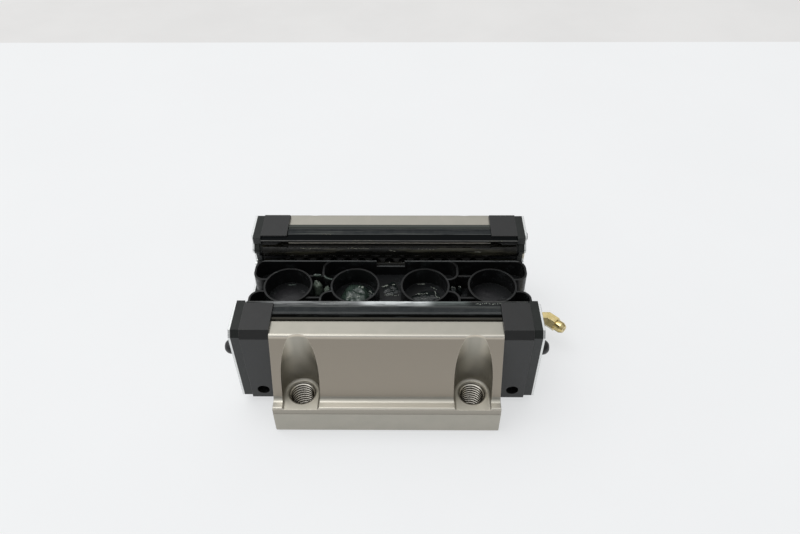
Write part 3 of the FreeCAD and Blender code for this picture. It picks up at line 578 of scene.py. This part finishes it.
# %% Finish of each piece
finishes = {
    "block_body": ground_steel,
    "end_plate": end_plate_plastic,
    "end_seal": seal_rubber,
    "seal_plate": plate_steel,
    "end_screws": dark_steel,
    "port_plug": dark_steel,
    "side_seal_front": front_strip,
    "side_seal_back": back_strip,
    "ball_retainer": retainer_plastic,
    "return_": inner_resin,
    "ball_cage": inner_resin,
    "balls_": ball_steel,
    "nipple_ball": ball_steel,
    "nipple_spring": spring_steel,
    "grease_nipple": brass,
    "mounting_jig": jig_plastic,
}
for name, piece in nodes.items():
    finish = next(material for start, material in finishes.items() if name.startswith(start))
    piece.material_slots[0].material = finish
print({name: piece.material_slots[0].material.name for name, piece in nodes.items()})

# %% [markdown]
# ## Threads in the four tapped holes
#
# The CAD holes stop at the thread's outer diameter, 12 mm. The thread is a ridge that winds down the
# hole, 1.75 mm a turn. It could be a bump in the material, but the holes are open to the camera, so
# each gets a real sleeve: a grid wrapped round the hole, whose radius rises and falls along a helix.


# %% Pieces from grids
def new_piece(name, points, faces, material, body):
    """Mesh piece from points in millimetres, riding on a body."""
    mesh = bpy.data.meshes.new(name)
    mesh.from_pydata([Vector(point) * MM for point in points], [], faces)
    mesh.validate()
    mesh.polygons.foreach_set("use_smooth", [True] * len(mesh.polygons))
    mesh.materials.append(material)
    piece = bpy.data.objects.new(name, mesh)
    scene.collection.objects.link(piece)
    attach(piece, body)
    return piece


def grid_faces(rows, columns, closed):
    """Faces between rows of points, each row open or closed to a ring."""
    faces = []
    for row in range(rows - 1):
        for column in range(columns if closed else columns - 1):
            right = (column + 1) % columns
            faces.append((row * columns + column, row * columns + right,
                          (row + 1) * columns + right, (row + 1) * columns + column))
    return faces


print(len(grid_faces(3, 4, True)), "faces between three rings of four points")

# %% Finish of a thread
# A bright band on the thread's flanks is a painted highlight, and the darker rest is oil and painted shade.
FLANK_HIGHLIGHT = 0.00562, 0.0002, 0.0001

tapped_steel, tree, shader = new_material("tapped_steel", Metallic=1.0)
flank_highlight = band(tree, hole_distance(tree), *FLANK_HIGHLIGHT)
oily_and_shaded = use(tree, two_tones, First=tone(74, 68, 58), Second=tone(52, 48, 40), Size=900.0)
tree.links.new(mix_colour(tree, flank_highlight, oily_and_shaded["Color"], tone(228, 223, 212)), shader["Base Color"])
tree.links.new(span(tree, oily_and_shaded["Mask"], 0.2, 0.3), shader["Roughness"])
print(tapped_steel.name, len(tree.nodes), "nodes")

# %% Thread sleeves
THREAD_ROOT, THREAD_CREST, THREAD_PITCH = 5.93, 5.06, 1.75
RIDGE_HALF, FLANK_RUN = 0.4375, 0.3125
HOLE_FROM, HOLE_TO, SLEEVE_OUTER = 0.4, 16.4, 5.96
AROUND, LEVELS = 72, 134
sleeve_angles = [2 * math.pi * step / AROUND for step in range(AROUND)]


def thread_radius(angle, height):
    """Distance of the thread's surface from the hole's axis. Cones open the thread at both ends."""
    phase = (height / THREAD_PITCH - angle / (2 * math.pi)) % 1.0
    ridge = min(1.0, max(0.0, (RIDGE_HALF - abs(phase - 0.5)) / FLANK_RUN))
    cone = THREAD_ROOT - min(height - HOLE_FROM, HOLE_TO - height)
    return max(cone, THREAD_ROOT - (THREAD_ROOT - THREAD_CREST) * ridge)


def thread_sleeve(name, x, y):
    """Closed sleeve in a tapped hole: the thread inside, and a plain wall against the steel."""
    heights = [HOLE_FROM + (HOLE_TO - HOLE_FROM) * level / (LEVELS - 1) for level in range(LEVELS)]
    rings = [(height, [thread_radius(angle, height) for angle in sleeve_angles]) for height in heights]
    rings += [(height, [SLEEVE_OUTER] * AROUND) for height in (HOLE_TO, HOLE_FROM)]
    points = []
    for height, radii in rings:
        for angle, radius in zip(sleeve_angles, radii):
            points.append((x + radius * math.cos(angle), y + radius * math.sin(angle), height))
    faces = [face[::-1] for face in grid_faces(len(rings), AROUND, True)]
    last = (len(rings) - 1) * AROUND
    for step in range(AROUND):
        right = (step + 1) % AROUND
        faces.append((step, right, last + right, last + step))
    return new_piece(name, points, faces, tapped_steel, "carriage")


for end, x in (("left", -HOLE_X), ("right", HOLE_X)):
    for leg, y in (("front", -HOLE_Y), ("back", HOLE_Y)):
        sleeve = thread_sleeve("thread_" + leg + "_" + end, x, y)
print(len(sleeve.data.polygons), "faces in a thread")

# %% [markdown]
# ## Grease
#
# The block is packed with grease. Most of it sits in the jig's cups as lumps, and a film of it hides
# the upper balls. It could be sculpted by hand or simulated, but a few lines of noise give the same
# shape each run: a lump is a low dome on a round grid, whose outline wanders and whose height is broken
# up, which gives the torn, crumpled look of grease that was dabbed in.

# %% Heaped grease
GREASE_IOR = 1.47
DAB_DEPTH = 0.0001

grease, tree, shader = new_material("grease", Coat_Weight=0.45, Coat_Roughness=0.08, IOR=GREASE_IOR)
body_tone = use(tree, two_tones, First=tone(38, 50, 44), Second=tone(55, 69, 61), Size=300.0)
dabs = use(tree, grease_film, Amount=0.1, Length=1.0, Size=600.0)
tree.links.new(mix_colour(tree, dabs["Mask"], body_tone["Color"], tone(96, 108, 100)), shader["Base Color"])
tree.links.new(span(tree, body_tone["Mask"], 0.2, 0.4), shader["Roughness"])
flat = add(tree, "NewGeometry").outputs["Normal"]
tree.links.new(bump(tree, dabs["Height"], DAB_DEPTH, flat), shader["Normal"])
print(grease.name, len(tree.nodes), "nodes")

# %% Spread grease
# A film's underside is so near that rounded edges would take it in, so films get almost no rounding.
NO_ROUNDING = 0.00001

dark_grease = black("dark_grease", tone(22, 21, 17), tone(13, 13, 11), 0.2, 0.34, edge_wear_and_highlight=0.0,
                    film=0.55, film_colour=tone(66, 64, 52), film_length=0.12, gloss=0.25)
thin_grease = black("thin_grease", tone(30, 36, 35), tone(20, 24, 24), 0.15, 0.3, edge_wear_and_highlight=0.0,
                    film=0.4, film_colour=tone(60, 68, 64), film_length=0.8, edge=NO_ROUNDING)
film_grease = black("film_grease", tone(40, 39, 41), tone(30, 30, 32), 0.28, 0.42, edge_wear_and_highlight=0.0, gloss=0.3,
                    edge=NO_ROUNDING)
# A lighter copy of the grease, painted light for the lumps in the jig's shaded necks.
lit_neck_grease = black("lit_neck_grease", tone(98, 108, 97), tone(68, 76, 68), 0.25, 0.4, edge_wear_and_highlight=0.0, gloss=0.3,
                    size=500.0)
print("spread grease ready")


# %% Beaded grease
def bead_finish(name, first, second, low, high, **coat):
    """Wet finish of small beads, between two colours and two roughnesses."""
    material, tree, shader = new_material(name, IOR=GREASE_IOR, **coat)
    bead_tone = use(tree, two_tones, First=first, Second=second, Size=900.0)
    tree.links.new(bead_tone["Color"], shader["Base Color"])
    tree.links.new(span(tree, bead_tone["Mask"], low, high), shader["Roughness"])
    return material


# Pale beads: light grease, whose pale colour is partly a painted glint.
pale_and_glinting_grease = bead_finish("pale_and_glinting_grease", tone(172, 178, 168), tone(128, 134, 124), 0.15, 0.3,
                          Coat_Weight=0.7, Coat_Roughness=0.06)
row_grease = bead_finish("row_grease", tone(104, 104, 90), tone(58, 57, 47), 0.2, 0.35,
                         Coat_Weight=0.5, Coat_Roughness=0.1)
print(pale_and_glinting_grease.name, row_grease.name)

# %% Shape of a lump
RINGS, SEGMENTS = 26, 72
OUTLINE_BROAD, OUTLINE_FINE, OUTLINE_SHARE = 1.3, 3.1, 0.43
FOLD_BROAD, FOLD_MIDDLE, FOLD_FINE = 0.33, 0.8, 1.7
BROAD_LEAST, BROAD_TORN, MIDDLE_TORN, FINE_TORN = 0.15, 0.4, 0.3, 0.22
FULL, LEAST, PEAK = 0.75, 0.12, 0.8
SEED_SPREAD = 3.7
grease_shapes = []


def lump_outline(angle, seed, wander):
    """How far a lump reaches in a direction, about 1."""
    turn = Vector((math.cos(angle), math.sin(angle), seed))
    ragged = noise.noise(turn * OUTLINE_BROAD) + OUTLINE_SHARE * noise.noise(turn * OUTLINE_FINE)
    return 1 + wander * ragged


def lump_folds(spot, torn):
    """How high a lump stands at a spot, as a share of its height."""
    folds = FULL + (BROAD_LEAST + BROAD_TORN * torn) * noise.noise(spot * FOLD_BROAD)
    folds += torn * MIDDLE_TORN * abs(noise.noise(spot * FOLD_MIDDLE))
    return max(LEAST, folds + torn * FINE_TORN * noise.noise(spot * FOLD_FINE))


def lump(name, x, y, floor, wide, deep, high, seed, limit=None, torn=1.0, material=grease, wander=0.28,
         steep=4):
    """Dome of grease in the jig. The limit is a circle, as (x, y, radius), that it stays inside."""
    points = []
    for ring in range(1, RINGS + 1):
        share = ring / RINGS
        for segment in range(SEGMENTS):
            angle = 2 * math.pi * segment / SEGMENTS
            outline = lump_outline(angle, seed, wander)
            px = x + wide * outline * share * math.cos(angle)
            py = y + deep * outline * share * math.sin(angle)
            if limit:
                off = Vector((px - limit[0], py - limit[1]))
                if off.length > limit[2]:
                    off *= limit[2] / off.length
                px, py = limit[0] + off.x, limit[1] + off.y
            folds = lump_folds(Vector((px, py, seed * SEED_SPREAD)), torn)
            points.append((px, py, floor + high * folds * (1 - share ** steep)))
    top = len(points)
    points += [(x, y, floor + high * PEAK), (x, y, floor)]
    faces = [face[::-1] for face in grid_faces(RINGS, SEGMENTS, True)]
    last = (RINGS - 1) * SEGMENTS
    for segment in range(SEGMENTS):
        right = (segment + 1) % SEGMENTS
        faces.append((top, segment, right))
        faces.append((top + 1, last + right, last + segment))
    grease_shapes.append(BVHTree.FromPolygons(points, faces))
    return new_piece(name, points, faces, material, "jig")


print(RINGS * SEGMENTS + 2, "points in a lump")

# %% Lumps in the cups and necks
JIG_FLOOR, BRIDGE_TOP, WALL_TOP = 29.2, 37.8, 38.8
SUNK = 0.05
IN_JIG, ON_BRIDGE = JIG_FLOOR - SUNK, BRIDGE_TOP - SUNK
CUP_RADIUS = 11.2
cups = {"far_left": -50.65, "left": -16.85, "right": 18.45, "far_right": 52.25}


def in_cup(cup):
    """Circle that keeps a lump inside a cup."""
    return cups[cup], 0, CUP_RADIUS


packed = {"wander": 0.04, "steep": 8}
spread = {"torn": 0.3, "material": film_grease, "steep": 2}
lump("grease_left_cup", -17.2, 0.6, IN_JIG, 7.6, 9.8, 4.4, 1.0, in_cup("left"), torn=0.15, wander=0.15)
lump("grease_left_cup_film", -11.0, 1.5, IN_JIG, 5.0, 7.0, 0.7, 2.0, in_cup("left"), material=thin_grease)
lump("grease_middle", 0.8, 6.5, IN_JIG, 3.8, 5.2, 0.6, 3.0, material=thin_grease)
lump("grease_right_cup", 19.5, -1.0, IN_JIG, 8.6, 7.0, 0.5, 5.0, in_cup("right"), material=thin_grease)
lump("grease_far_left_cup", -51.0, 9.9, IN_JIG, 2.4, 0.6, 0.4, 9.0, in_cup("far_left"))
lump("grease_far_left_film", -52.0, 1.0, IN_JIG, 7.6, 7.4, 0.4, 10.0, in_cup("far_left"), **spread)
lump("grease_far_right_film", 49.0, 1.0, IN_JIG, 7.0, 7.6, 0.4, 12.0, in_cup("far_right"), **spread)
lump("grease_left_neck", -36.45, 3.9, IN_JIG, 2.8, 3.6, 8.6, 7.0, torn=0.3, material=lit_neck_grease, **packed)
lump("grease_left_bridge", -36.6, 7.7, ON_BRIDGE, 2.4, 0.8, 0.9, 15.0, wander=0.1, steep=8)
lump("grease_left_pinch", -31.2, 0.4, IN_JIG, 2.1, 3.4, 8.0, 13.0, torn=0.4, material=lit_neck_grease, **packed)
lump("grease_right_neck", 36.4, 4.4, IN_JIG, 1.5, 2.8, 6.0, 8.0, torn=0.4, material=thin_grease)
lump("grease_right_pinch", 32.8, 0.4, IN_JIG, 2.1, 3.4, 7.6, 16.0, torn=0.4, material=thin_grease, **packed)
print(len(grease_shapes), "lumps placed")

# %% [markdown]
# ## Grease over the balls
#
# The balls lie behind dark grease that was drawn along the legs and out over the end plates. It could
# be many lumps, but they would show seams. It is one thin shell round a row's axis, open to the steel
# behind, with lumps along it. Over the end plates, where there is no ball to hold it out, the shell is
# thicker.

# %% Smears along the rows
ROW_Y, LOW_ROW_Z, HIGH_ROW_Z = 22.8, 32.0, 42.2
STEEL_HALF, SMEAR_HALF = 53.0, 66.2
SMEAR_RADIUS, ON_BALLS, ON_PLATES, PLATE_TURN = 3.2, 3.0, 2.0, 40
ALONG_SCALE, ROUND_SCALE, FINE_SCALE = 0.16, 1.4, 3.3
BROAD_LUMPS, FINE_LUMPS = 0.5, 0.3
COAT, LEAST_COAT, EDGE_COAT, EDGE_STEEP = 0.04, 0.02, 0.2, 4
COLUMNS, TURNS = 300, 18


def smear(name, side, row_z, first_angle, last_angle, swell, seed):
    """Shell of grease over a row of the leg on one side."""
    outer, inner = [], []
    for step in range(COLUMNS):
        x = -SMEAR_HALF + 2 * SMEAR_HALF * step / (COLUMNS - 1)
        past_steel = abs(x) > STEEL_HALF
        core = ON_PLATES if past_steel else ON_BALLS
        start = first_angle - (PLATE_TURN if past_steel else 0)
        for turn in range(TURNS):
            share = turn / (TURNS - 1)
            angle = math.radians(start + (last_angle - start) * share)
            spot = Vector((x * ALONG_SCALE, angle * ROUND_SCALE, seed))
            lumps = BROAD_LUMPS * max(0.0, noise.noise(spot)) + FINE_LUMPS * noise.noise(spot * FINE_SCALE)
            coat = max(LEAST_COAT, COAT + swell * lumps)
            edge = min(1.0, EDGE_STEEP * share, EDGE_STEEP * (1 - share))
            radius = SMEAR_RADIUS + coat * (EDGE_COAT + (1 - EDGE_COAT) * edge)
            outer.append((x, side * (ROW_Y + radius * math.cos(angle)), row_z + radius * math.sin(angle)))
            inner.append((x, side * (ROW_Y + core * math.cos(angle)), row_z + core * math.sin(angle)))
    count = COLUMNS * TURNS
    faces = grid_faces(COLUMNS, TURNS, False)
    back = [tuple(count + index for index in face[::-1]) for face in faces]
    rim = [step * TURNS for step in range(COLUMNS)]
    rim += [(COLUMNS - 1) * TURNS + turn for turn in range(1, TURNS)]
    rim += [step * TURNS + TURNS - 1 for step in range(COLUMNS - 2, -1, -1)]
    rim += list(range(TURNS - 2, 0, -1))
    walls = []
    for place, index in enumerate(rim):
        after = rim[(place + 1) % len(rim)]
        walls.append((after, index, count + index, count + after))
    faces = faces + back + walls
    if side > 0:
        faces = [face[::-1] for face in faces]
    return new_piece(name, outer + inner, faces, dark_grease, "carriage")


for leg, side, seed in (("back", 1, 11.0), ("front", -1, 14.0)):
    smear("grease_high_row_" + leg, side, HIGH_ROW_Z, 100, 280, 0.6, seed)
    smear("grease_low_row_" + leg, side, LOW_ROW_Z, 120, 240, 0.1, seed + 20)
print("rows covered")

# %% [markdown]
# ## Beads and threads of grease
#
# Small bright beads stand where the grease was torn off: on the rows, on the strips and in the cups. A
# bump could hint at them, but they stand out against the dark, so they are real: flattened balls with a
# crumpled surface, half sunk in what carries them. The beads of one place are one piece. So that none
# floats, those on the rows are pushed to the smear's surface, and those in the cups and on the front
# strip are let down on the shape below. A thread of grease is a row of beads that run together.

# %% Shape of beads
BEAD_RINGS, BEAD_SIDES = 7, 10
FLATTENED, CRUMPLE, CRUMPLE_SCALE = 0.7, 0.3, 1.7
SEED_STEP, SEED_TURN = 1.37, 0.7


def bead_points(x, y, z, size, seed, long):
    """Points of one crumpled bead: its top, its bottom and the rings between them."""
    points = [(x, y, z + size * FLATTENED), (x, y, z - size * FLATTENED)]
    for ring in range(1, BEAD_RINGS):
        polar_angle = math.pi * ring / BEAD_RINGS
        for step in range(BEAD_SIDES):
            angle = 2 * math.pi * step / BEAD_SIDES
            way = Vector((math.sin(polar_angle) * math.cos(angle), math.sin(polar_angle) * math.sin(angle),
                          math.cos(polar_angle)))
            crumple = noise.noise(way * CRUMPLE_SCALE + Vector((seed, seed * SEED_TURN, 0)))
            radius = size * (1 + CRUMPLE * crumple)
            points.append((x + way.x * radius * long, y + way.y * radius, z + way.z * radius * FLATTENED))
    return points


def bead_faces():
    """Faces of one bead, by the numbers of its points."""
    faces = []
    last = 2 + (BEAD_RINGS - 2) * BEAD_SIDES
    for step in range(BEAD_SIDES):
        right = (step + 1) % BEAD_SIDES
        faces.append((0, 2 + step, 2 + right))
        faces.append((1, last + right, last + step))
        for ring in range(BEAD_RINGS - 2):
            low = 2 + ring * BEAD_SIDES
            high = low + BEAD_SIDES
            faces.append((low + step, high + step, high + right, low + right))
    return faces


def beads(name, spots, body, material=pale_and_glinting_grease, long=1.0):
    """One piece from beads, given as x, y, z and size in millimetres."""
    points, faces = [], []
    for index, (x, y, z, size) in enumerate(spots):
        faces += [tuple(corner + len(points) for corner in face) for face in bead_faces()]
        points += bead_points(x, y, z, size, index * SEED_STEP, long)
    return new_piece(name, points, faces, material, body)


print(len(bead_faces()), "faces in a bead")

# %% Places of beads
ON_SMEAR = 3.15
DROP_FROM, STAND_OUT = 60, 0.25
LEAST_SIZE, SIZE_SPREAD = 0.65, 0.7
ASIDE_STEP, ASIDE_PLANE = 0.9, 0.4
SIZE_STEP, SIZE_PLANE = 1.3, 2.1
# Without a seed, noise_vector starts from the clock and the beads differ from run to run.
BEAD_SEED = 1
noise.seed_set(BEAD_SEED)


def scattered(first, last, count, size, wander, seed):
    """Beads on the way between two points, pushed aside by a little noise."""
    first, last = Vector(first), Vector(last)
    spots = []
    for index in range(count):
        share = (index + 0.5) / count
        aside = noise.noise_vector(Vector((index * ASIDE_STEP, seed, ASIDE_PLANE)))
        place = first.lerp(last, share) + Vector((aside.x, aside.y, 0)) * wander
        larger = abs(noise.noise(Vector((seed, index * SIZE_STEP, SIZE_PLANE))))
        spots.append((*place, size * (LEAST_SIZE + SIZE_SPREAD * larger)))
    return spots


def on_row(x, angle):
    """Place on the smear over the back leg's upper row."""
    turn = math.radians(angle)
    return x, ROW_Y + ON_SMEAR * math.cos(turn), HIGH_ROW_Z + ON_SMEAR * math.sin(turn)


def wrapped(spots):
    """Beads pushed in or out to the smear's surface."""
    moved = []
    for x, y, z, size in spots:
        off = Vector((y - ROW_Y, z - HIGH_ROW_Z)).normalized() * ON_SMEAR
        moved.append((x, ROW_Y + off.x, HIGH_ROW_Z + off.y, size))
    return moved


def dropped(spots, shapes, floor):
    """Beads let down on the shape below them, or else on a floor."""
    settled = []
    for x, y, _, size in spots:
        tops = [shape.ray_cast(Vector((x, y, DROP_FROM)), Vector((0, 0, -1)))[0] for shape in shapes]
        level = max([top.z for top in tops if top] + [floor])
        settled.append((x, y, level + size * STAND_OUT, size))
    return settled


def shape_of(piece):
    """Shape of a CAD piece, in millimetres, to let beads down on."""
    corners = [vertex.co / MM for vertex in piece.data.vertices]
    return BVHTree.FromPolygons(corners, [tuple(face.vertices) for face in piece.data.polygons])


print("beads stand out by", STAND_OUT, "of their size")

# %% Beads on the rows and strips
beads("grease_beads_row", wrapped(
    scattered(on_row(-46, 128), on_row(-35.5, 127), 14, 0.34, 0.8, 1.0)
    + scattered(on_row(-21, 128), on_row(-10.5, 126), 15, 0.34, 0.8, 2.0)
    + scattered(on_row(14.5, 133), on_row(24, 133), 5, 0.3, 0.6, 3.0)
    + scattered(on_row(44.5, 156), on_row(47.5, 158), 3, 0.42, 0.4, 20.0)
    + scattered(on_row(0, 140), on_row(3, 150), 3, 0.4, 0.6, 4.0)),
    "carriage", row_grease, long=2.4)
beads("grease_beads_strip", (
    scattered((-18.6, 21.7, 49.5), (-7.2, 21.7, 49.5), 11, 0.3, 0.5, 5.0)
    + scattered((51.5, 21.7, 49.45), (59.0, 21.7, 49.45), 6, 0.36, 0.4, 21.0)
    + scattered((-35.4, 25.7, 50.45), (-30.2, 25.6, 50.45), 6, 0.3, 0.5, 6.0)),
    "carriage", row_grease, long=1.6)
beads("grease_beads_front_strip", dropped(
    scattered((41, -23.4, 0), (53, -23.4, 0), 12, 0.3, 0.9, 18.0)
    + scattered((-32, -23.0, 0), (-20, -23.0, 0), 9, 0.3, 0.9, 19.0),
    [shape_of(nodes["side_seal_front"])], 0), "carriage")
print("rows and strips beaded")

# %% Beads in the jig
beads("grease_beads_cups", dropped(
    [(-15.2, 4.9, 0, 0.5), (-13.6, 4.9, 0, 0.75)]
    + scattered((-21.4, -2.2, 0), (-18.8, -2.3, 0), 5, 0.4, 0.6, 7.0)
    + scattered((-16.2, -1.8, 0), (-14.6, -2.0, 0), 3, 0.4, 0.5, 22.0)
    + scattered((-10.4, 4.8, 0), (-7.6, 2.2, 0), 6, 0.36, 0.9, 23.0)
    + scattered((-3.7, 8.0, 0), (-0.4, 9.0, 0), 6, 0.5, 0.5, 8.0)
    + scattered((1.8, 9.0, 0), (3.0, 9.6, 0), 2, 0.5, 0.4, 9.0)
    + scattered((-2.5, 2.6, 0), (5.0, 2.0, 0), 9, 0.33, 0.4, 10.0)
    + scattered((14.8, 10.2, 0), (18.8, 10.4, 0), 8, 0.34, 0.3, 11.0)
    + scattered((13.5, 2.8, 0), (20.2, 3.2, 0), 9, 0.35, 1.2, 12.0)
    + scattered((22.0, 8.6, 0), (24.9, 6.0, 0), 5, 0.32, 0.3, 13.0)
    + scattered((24.0, 5.4, 0), (24.2, 0.6, 0), 7, 0.3, 0.5, 14.0)
    + scattered((24.4, 0.5, 0), (28.0, 0.0, 0), 6, 0.32, 0.3, 15.0)
    + scattered((35.8, 5.0, 0), (37.0, 3.6, 0), 4, 0.35, 0.3, 16.0)
    + scattered((31.6, 1.2, 0), (34.0, 1.4, 0), 5, 0.3, 0.3, 24.0)
    + scattered((-37.2, 6.0, 0), (-35.4, 3.4, 0), 6, 0.4, 0.5, 17.0), grease_shapes, JIG_FLOOR), "jig")
PINCH_X, PINCH_Y, PINCH_RADIUS, PINCH_BEAD = -28.6, 9.2, 5.0, 0.6
arc = [math.radians(degrees) for degrees in range(4, 64, 10)]
beads("grease_beads_pinch", [
    (PINCH_X - PINCH_RADIUS * math.sin(turn), PINCH_Y - PINCH_RADIUS * math.cos(turn), WALL_TOP, PINCH_BEAD)
    for turn in arc], "jig", grease)
print("jig beaded")

# %% [markdown]
# ## Light and floor
#
# The block lies on white paper in a bright, soft room: light from above and behind, dimmer towards the
# photographer, which is why the steel's front is darker than its top. Many lamps could give that, but a
# gradient in the world is softer, with a little more of it from a window on the left. One large lamp
# from the left adds the soft shadow on the right.
#
# The paper has to look white without more light on the block. So the camera and the shiny metal see
# mostly its own colour, and a share of the lit paper keeps the shadow.

# %% World
SKY_LEAN = Vector((-0.3, 0.22, 1.0)).normalized()
SKY_POWER, SKY_DIM, SKY_BRIGHT = 2.2, 0.3, 1.47
SKY_COLOUR = 0.985, 0.995, 1.0, 1
WINDOW_WAY = Vector((-1.0, -0.25, 0.35)).normalized()
WINDOW_POWER, WINDOW_SHARE = 3.0, 0.25
world = bpy.data.worlds.new("studio")
scene.world = world
world.use_nodes = True
sky = world.node_tree
direction = add(sky, "TexCoord").outputs["Generated"]


def towards(way, power):
    """How much a direction points one way, from 0 to 1."""
    along = add(sky, "VectorMath", {0: direction, 1: way}, operation="DOT_PRODUCT").outputs["Value"]
    return math_node(sky, "POWER", math_node(sky, "MAXIMUM", along, 0.0), power)


dome = span(sky, towards(SKY_LEAN, SKY_POWER), SKY_DIM, SKY_BRIGHT)
window = math_node(sky, "MULTIPLY", towards(WINDOW_WAY, WINDOW_POWER), WINDOW_SHARE)
background = sky.nodes["Background"].inputs
sky.links.new(math_node(sky, "ADD", dome, window), background["Strength"])
background["Color"].default_value = SKY_COLOUR
print("sky from", SKY_DIM, "to", SKY_BRIGHT)

# %% Lamp
LAMP_SIZE, LAMP_POWER = 0.5, 1.3
LAMP_PLACE, LAMP_AIM = (-0.35, 0.15, 0.95), Vector((0, 0, 0.02))
lamp_data = bpy.data.lights.new("window", "AREA")
lamp_data.shape = "SQUARE"
lamp_data.size = LAMP_SIZE
lamp_data.energy = LAMP_POWER
lamp = bpy.data.objects.new("window", lamp_data)
scene.collection.objects.link(lamp)
lamp.location = LAMP_PLACE
lamp.rotation_euler = (LAMP_AIM - lamp.location).to_track_quat("-Z", "Y").to_euler()
print("lamp", lamp_data.energy, "W")

# %% Paper floor
PALENESS = 0.65
FLOOR, BACK_SHEET, FAR = -0.0001, 0.353, 4


def stage_sheet(name, first, second, near, far):
    """Sheet of paper on the floor, from a near edge to a far one, in metres."""
    paper, tree, shader = new_material(name, Roughness=0.9, Specular_IOR_Level=0.1)
    colour = use(tree, two_tones, First=first, Second=second, Size=9.0)["Color"]
    tree.links.new(colour, shader["Base Color"])
    ray = add(tree, "LightPath").outputs
    seen = math_node(tree, "ADD", ray["Is Camera Ray"], ray["Is Glossy Ray"])
    seen = math_node(tree, "MINIMUM", math_node(tree, "ADD", seen, ray["Is Transmission Ray"]), 1.0)
    glow = add(tree, "Emission", {"Color": colour, "Strength": 1.0}).outputs[0]
    plain = tree.nodes["Principled BSDF"].outputs[0]
    pale = add(tree, "MixShader", {0: both(tree, seen, PALENESS), 1: plain, 2: glow}).outputs[0]
    tree.links.new(pale, tree.nodes["Material Output"].inputs["Surface"])
    mesh = bpy.data.meshes.new(name)
    corners = [(-FAR, near, FLOOR), (FAR, near, FLOOR), (FAR, far, FLOOR), (-FAR, far, FLOOR)]
    mesh.from_pydata(corners, [], [(0, 1, 2, 3)])
    mesh.materials.append(paper)
    piece = bpy.data.objects.new(name, mesh)
    scene.collection.objects.link(piece)


stage_sheet("floor", tone(243, 244, 245), tone(242, 243, 244), -FAR, BACK_SHEET)
stage_sheet("back_sheet", tone(232, 231, 230), tone(228, 227, 226), BACK_SHEET, FAR)
scene.view_settings.view_transform = "Standard"
print("floor ready")
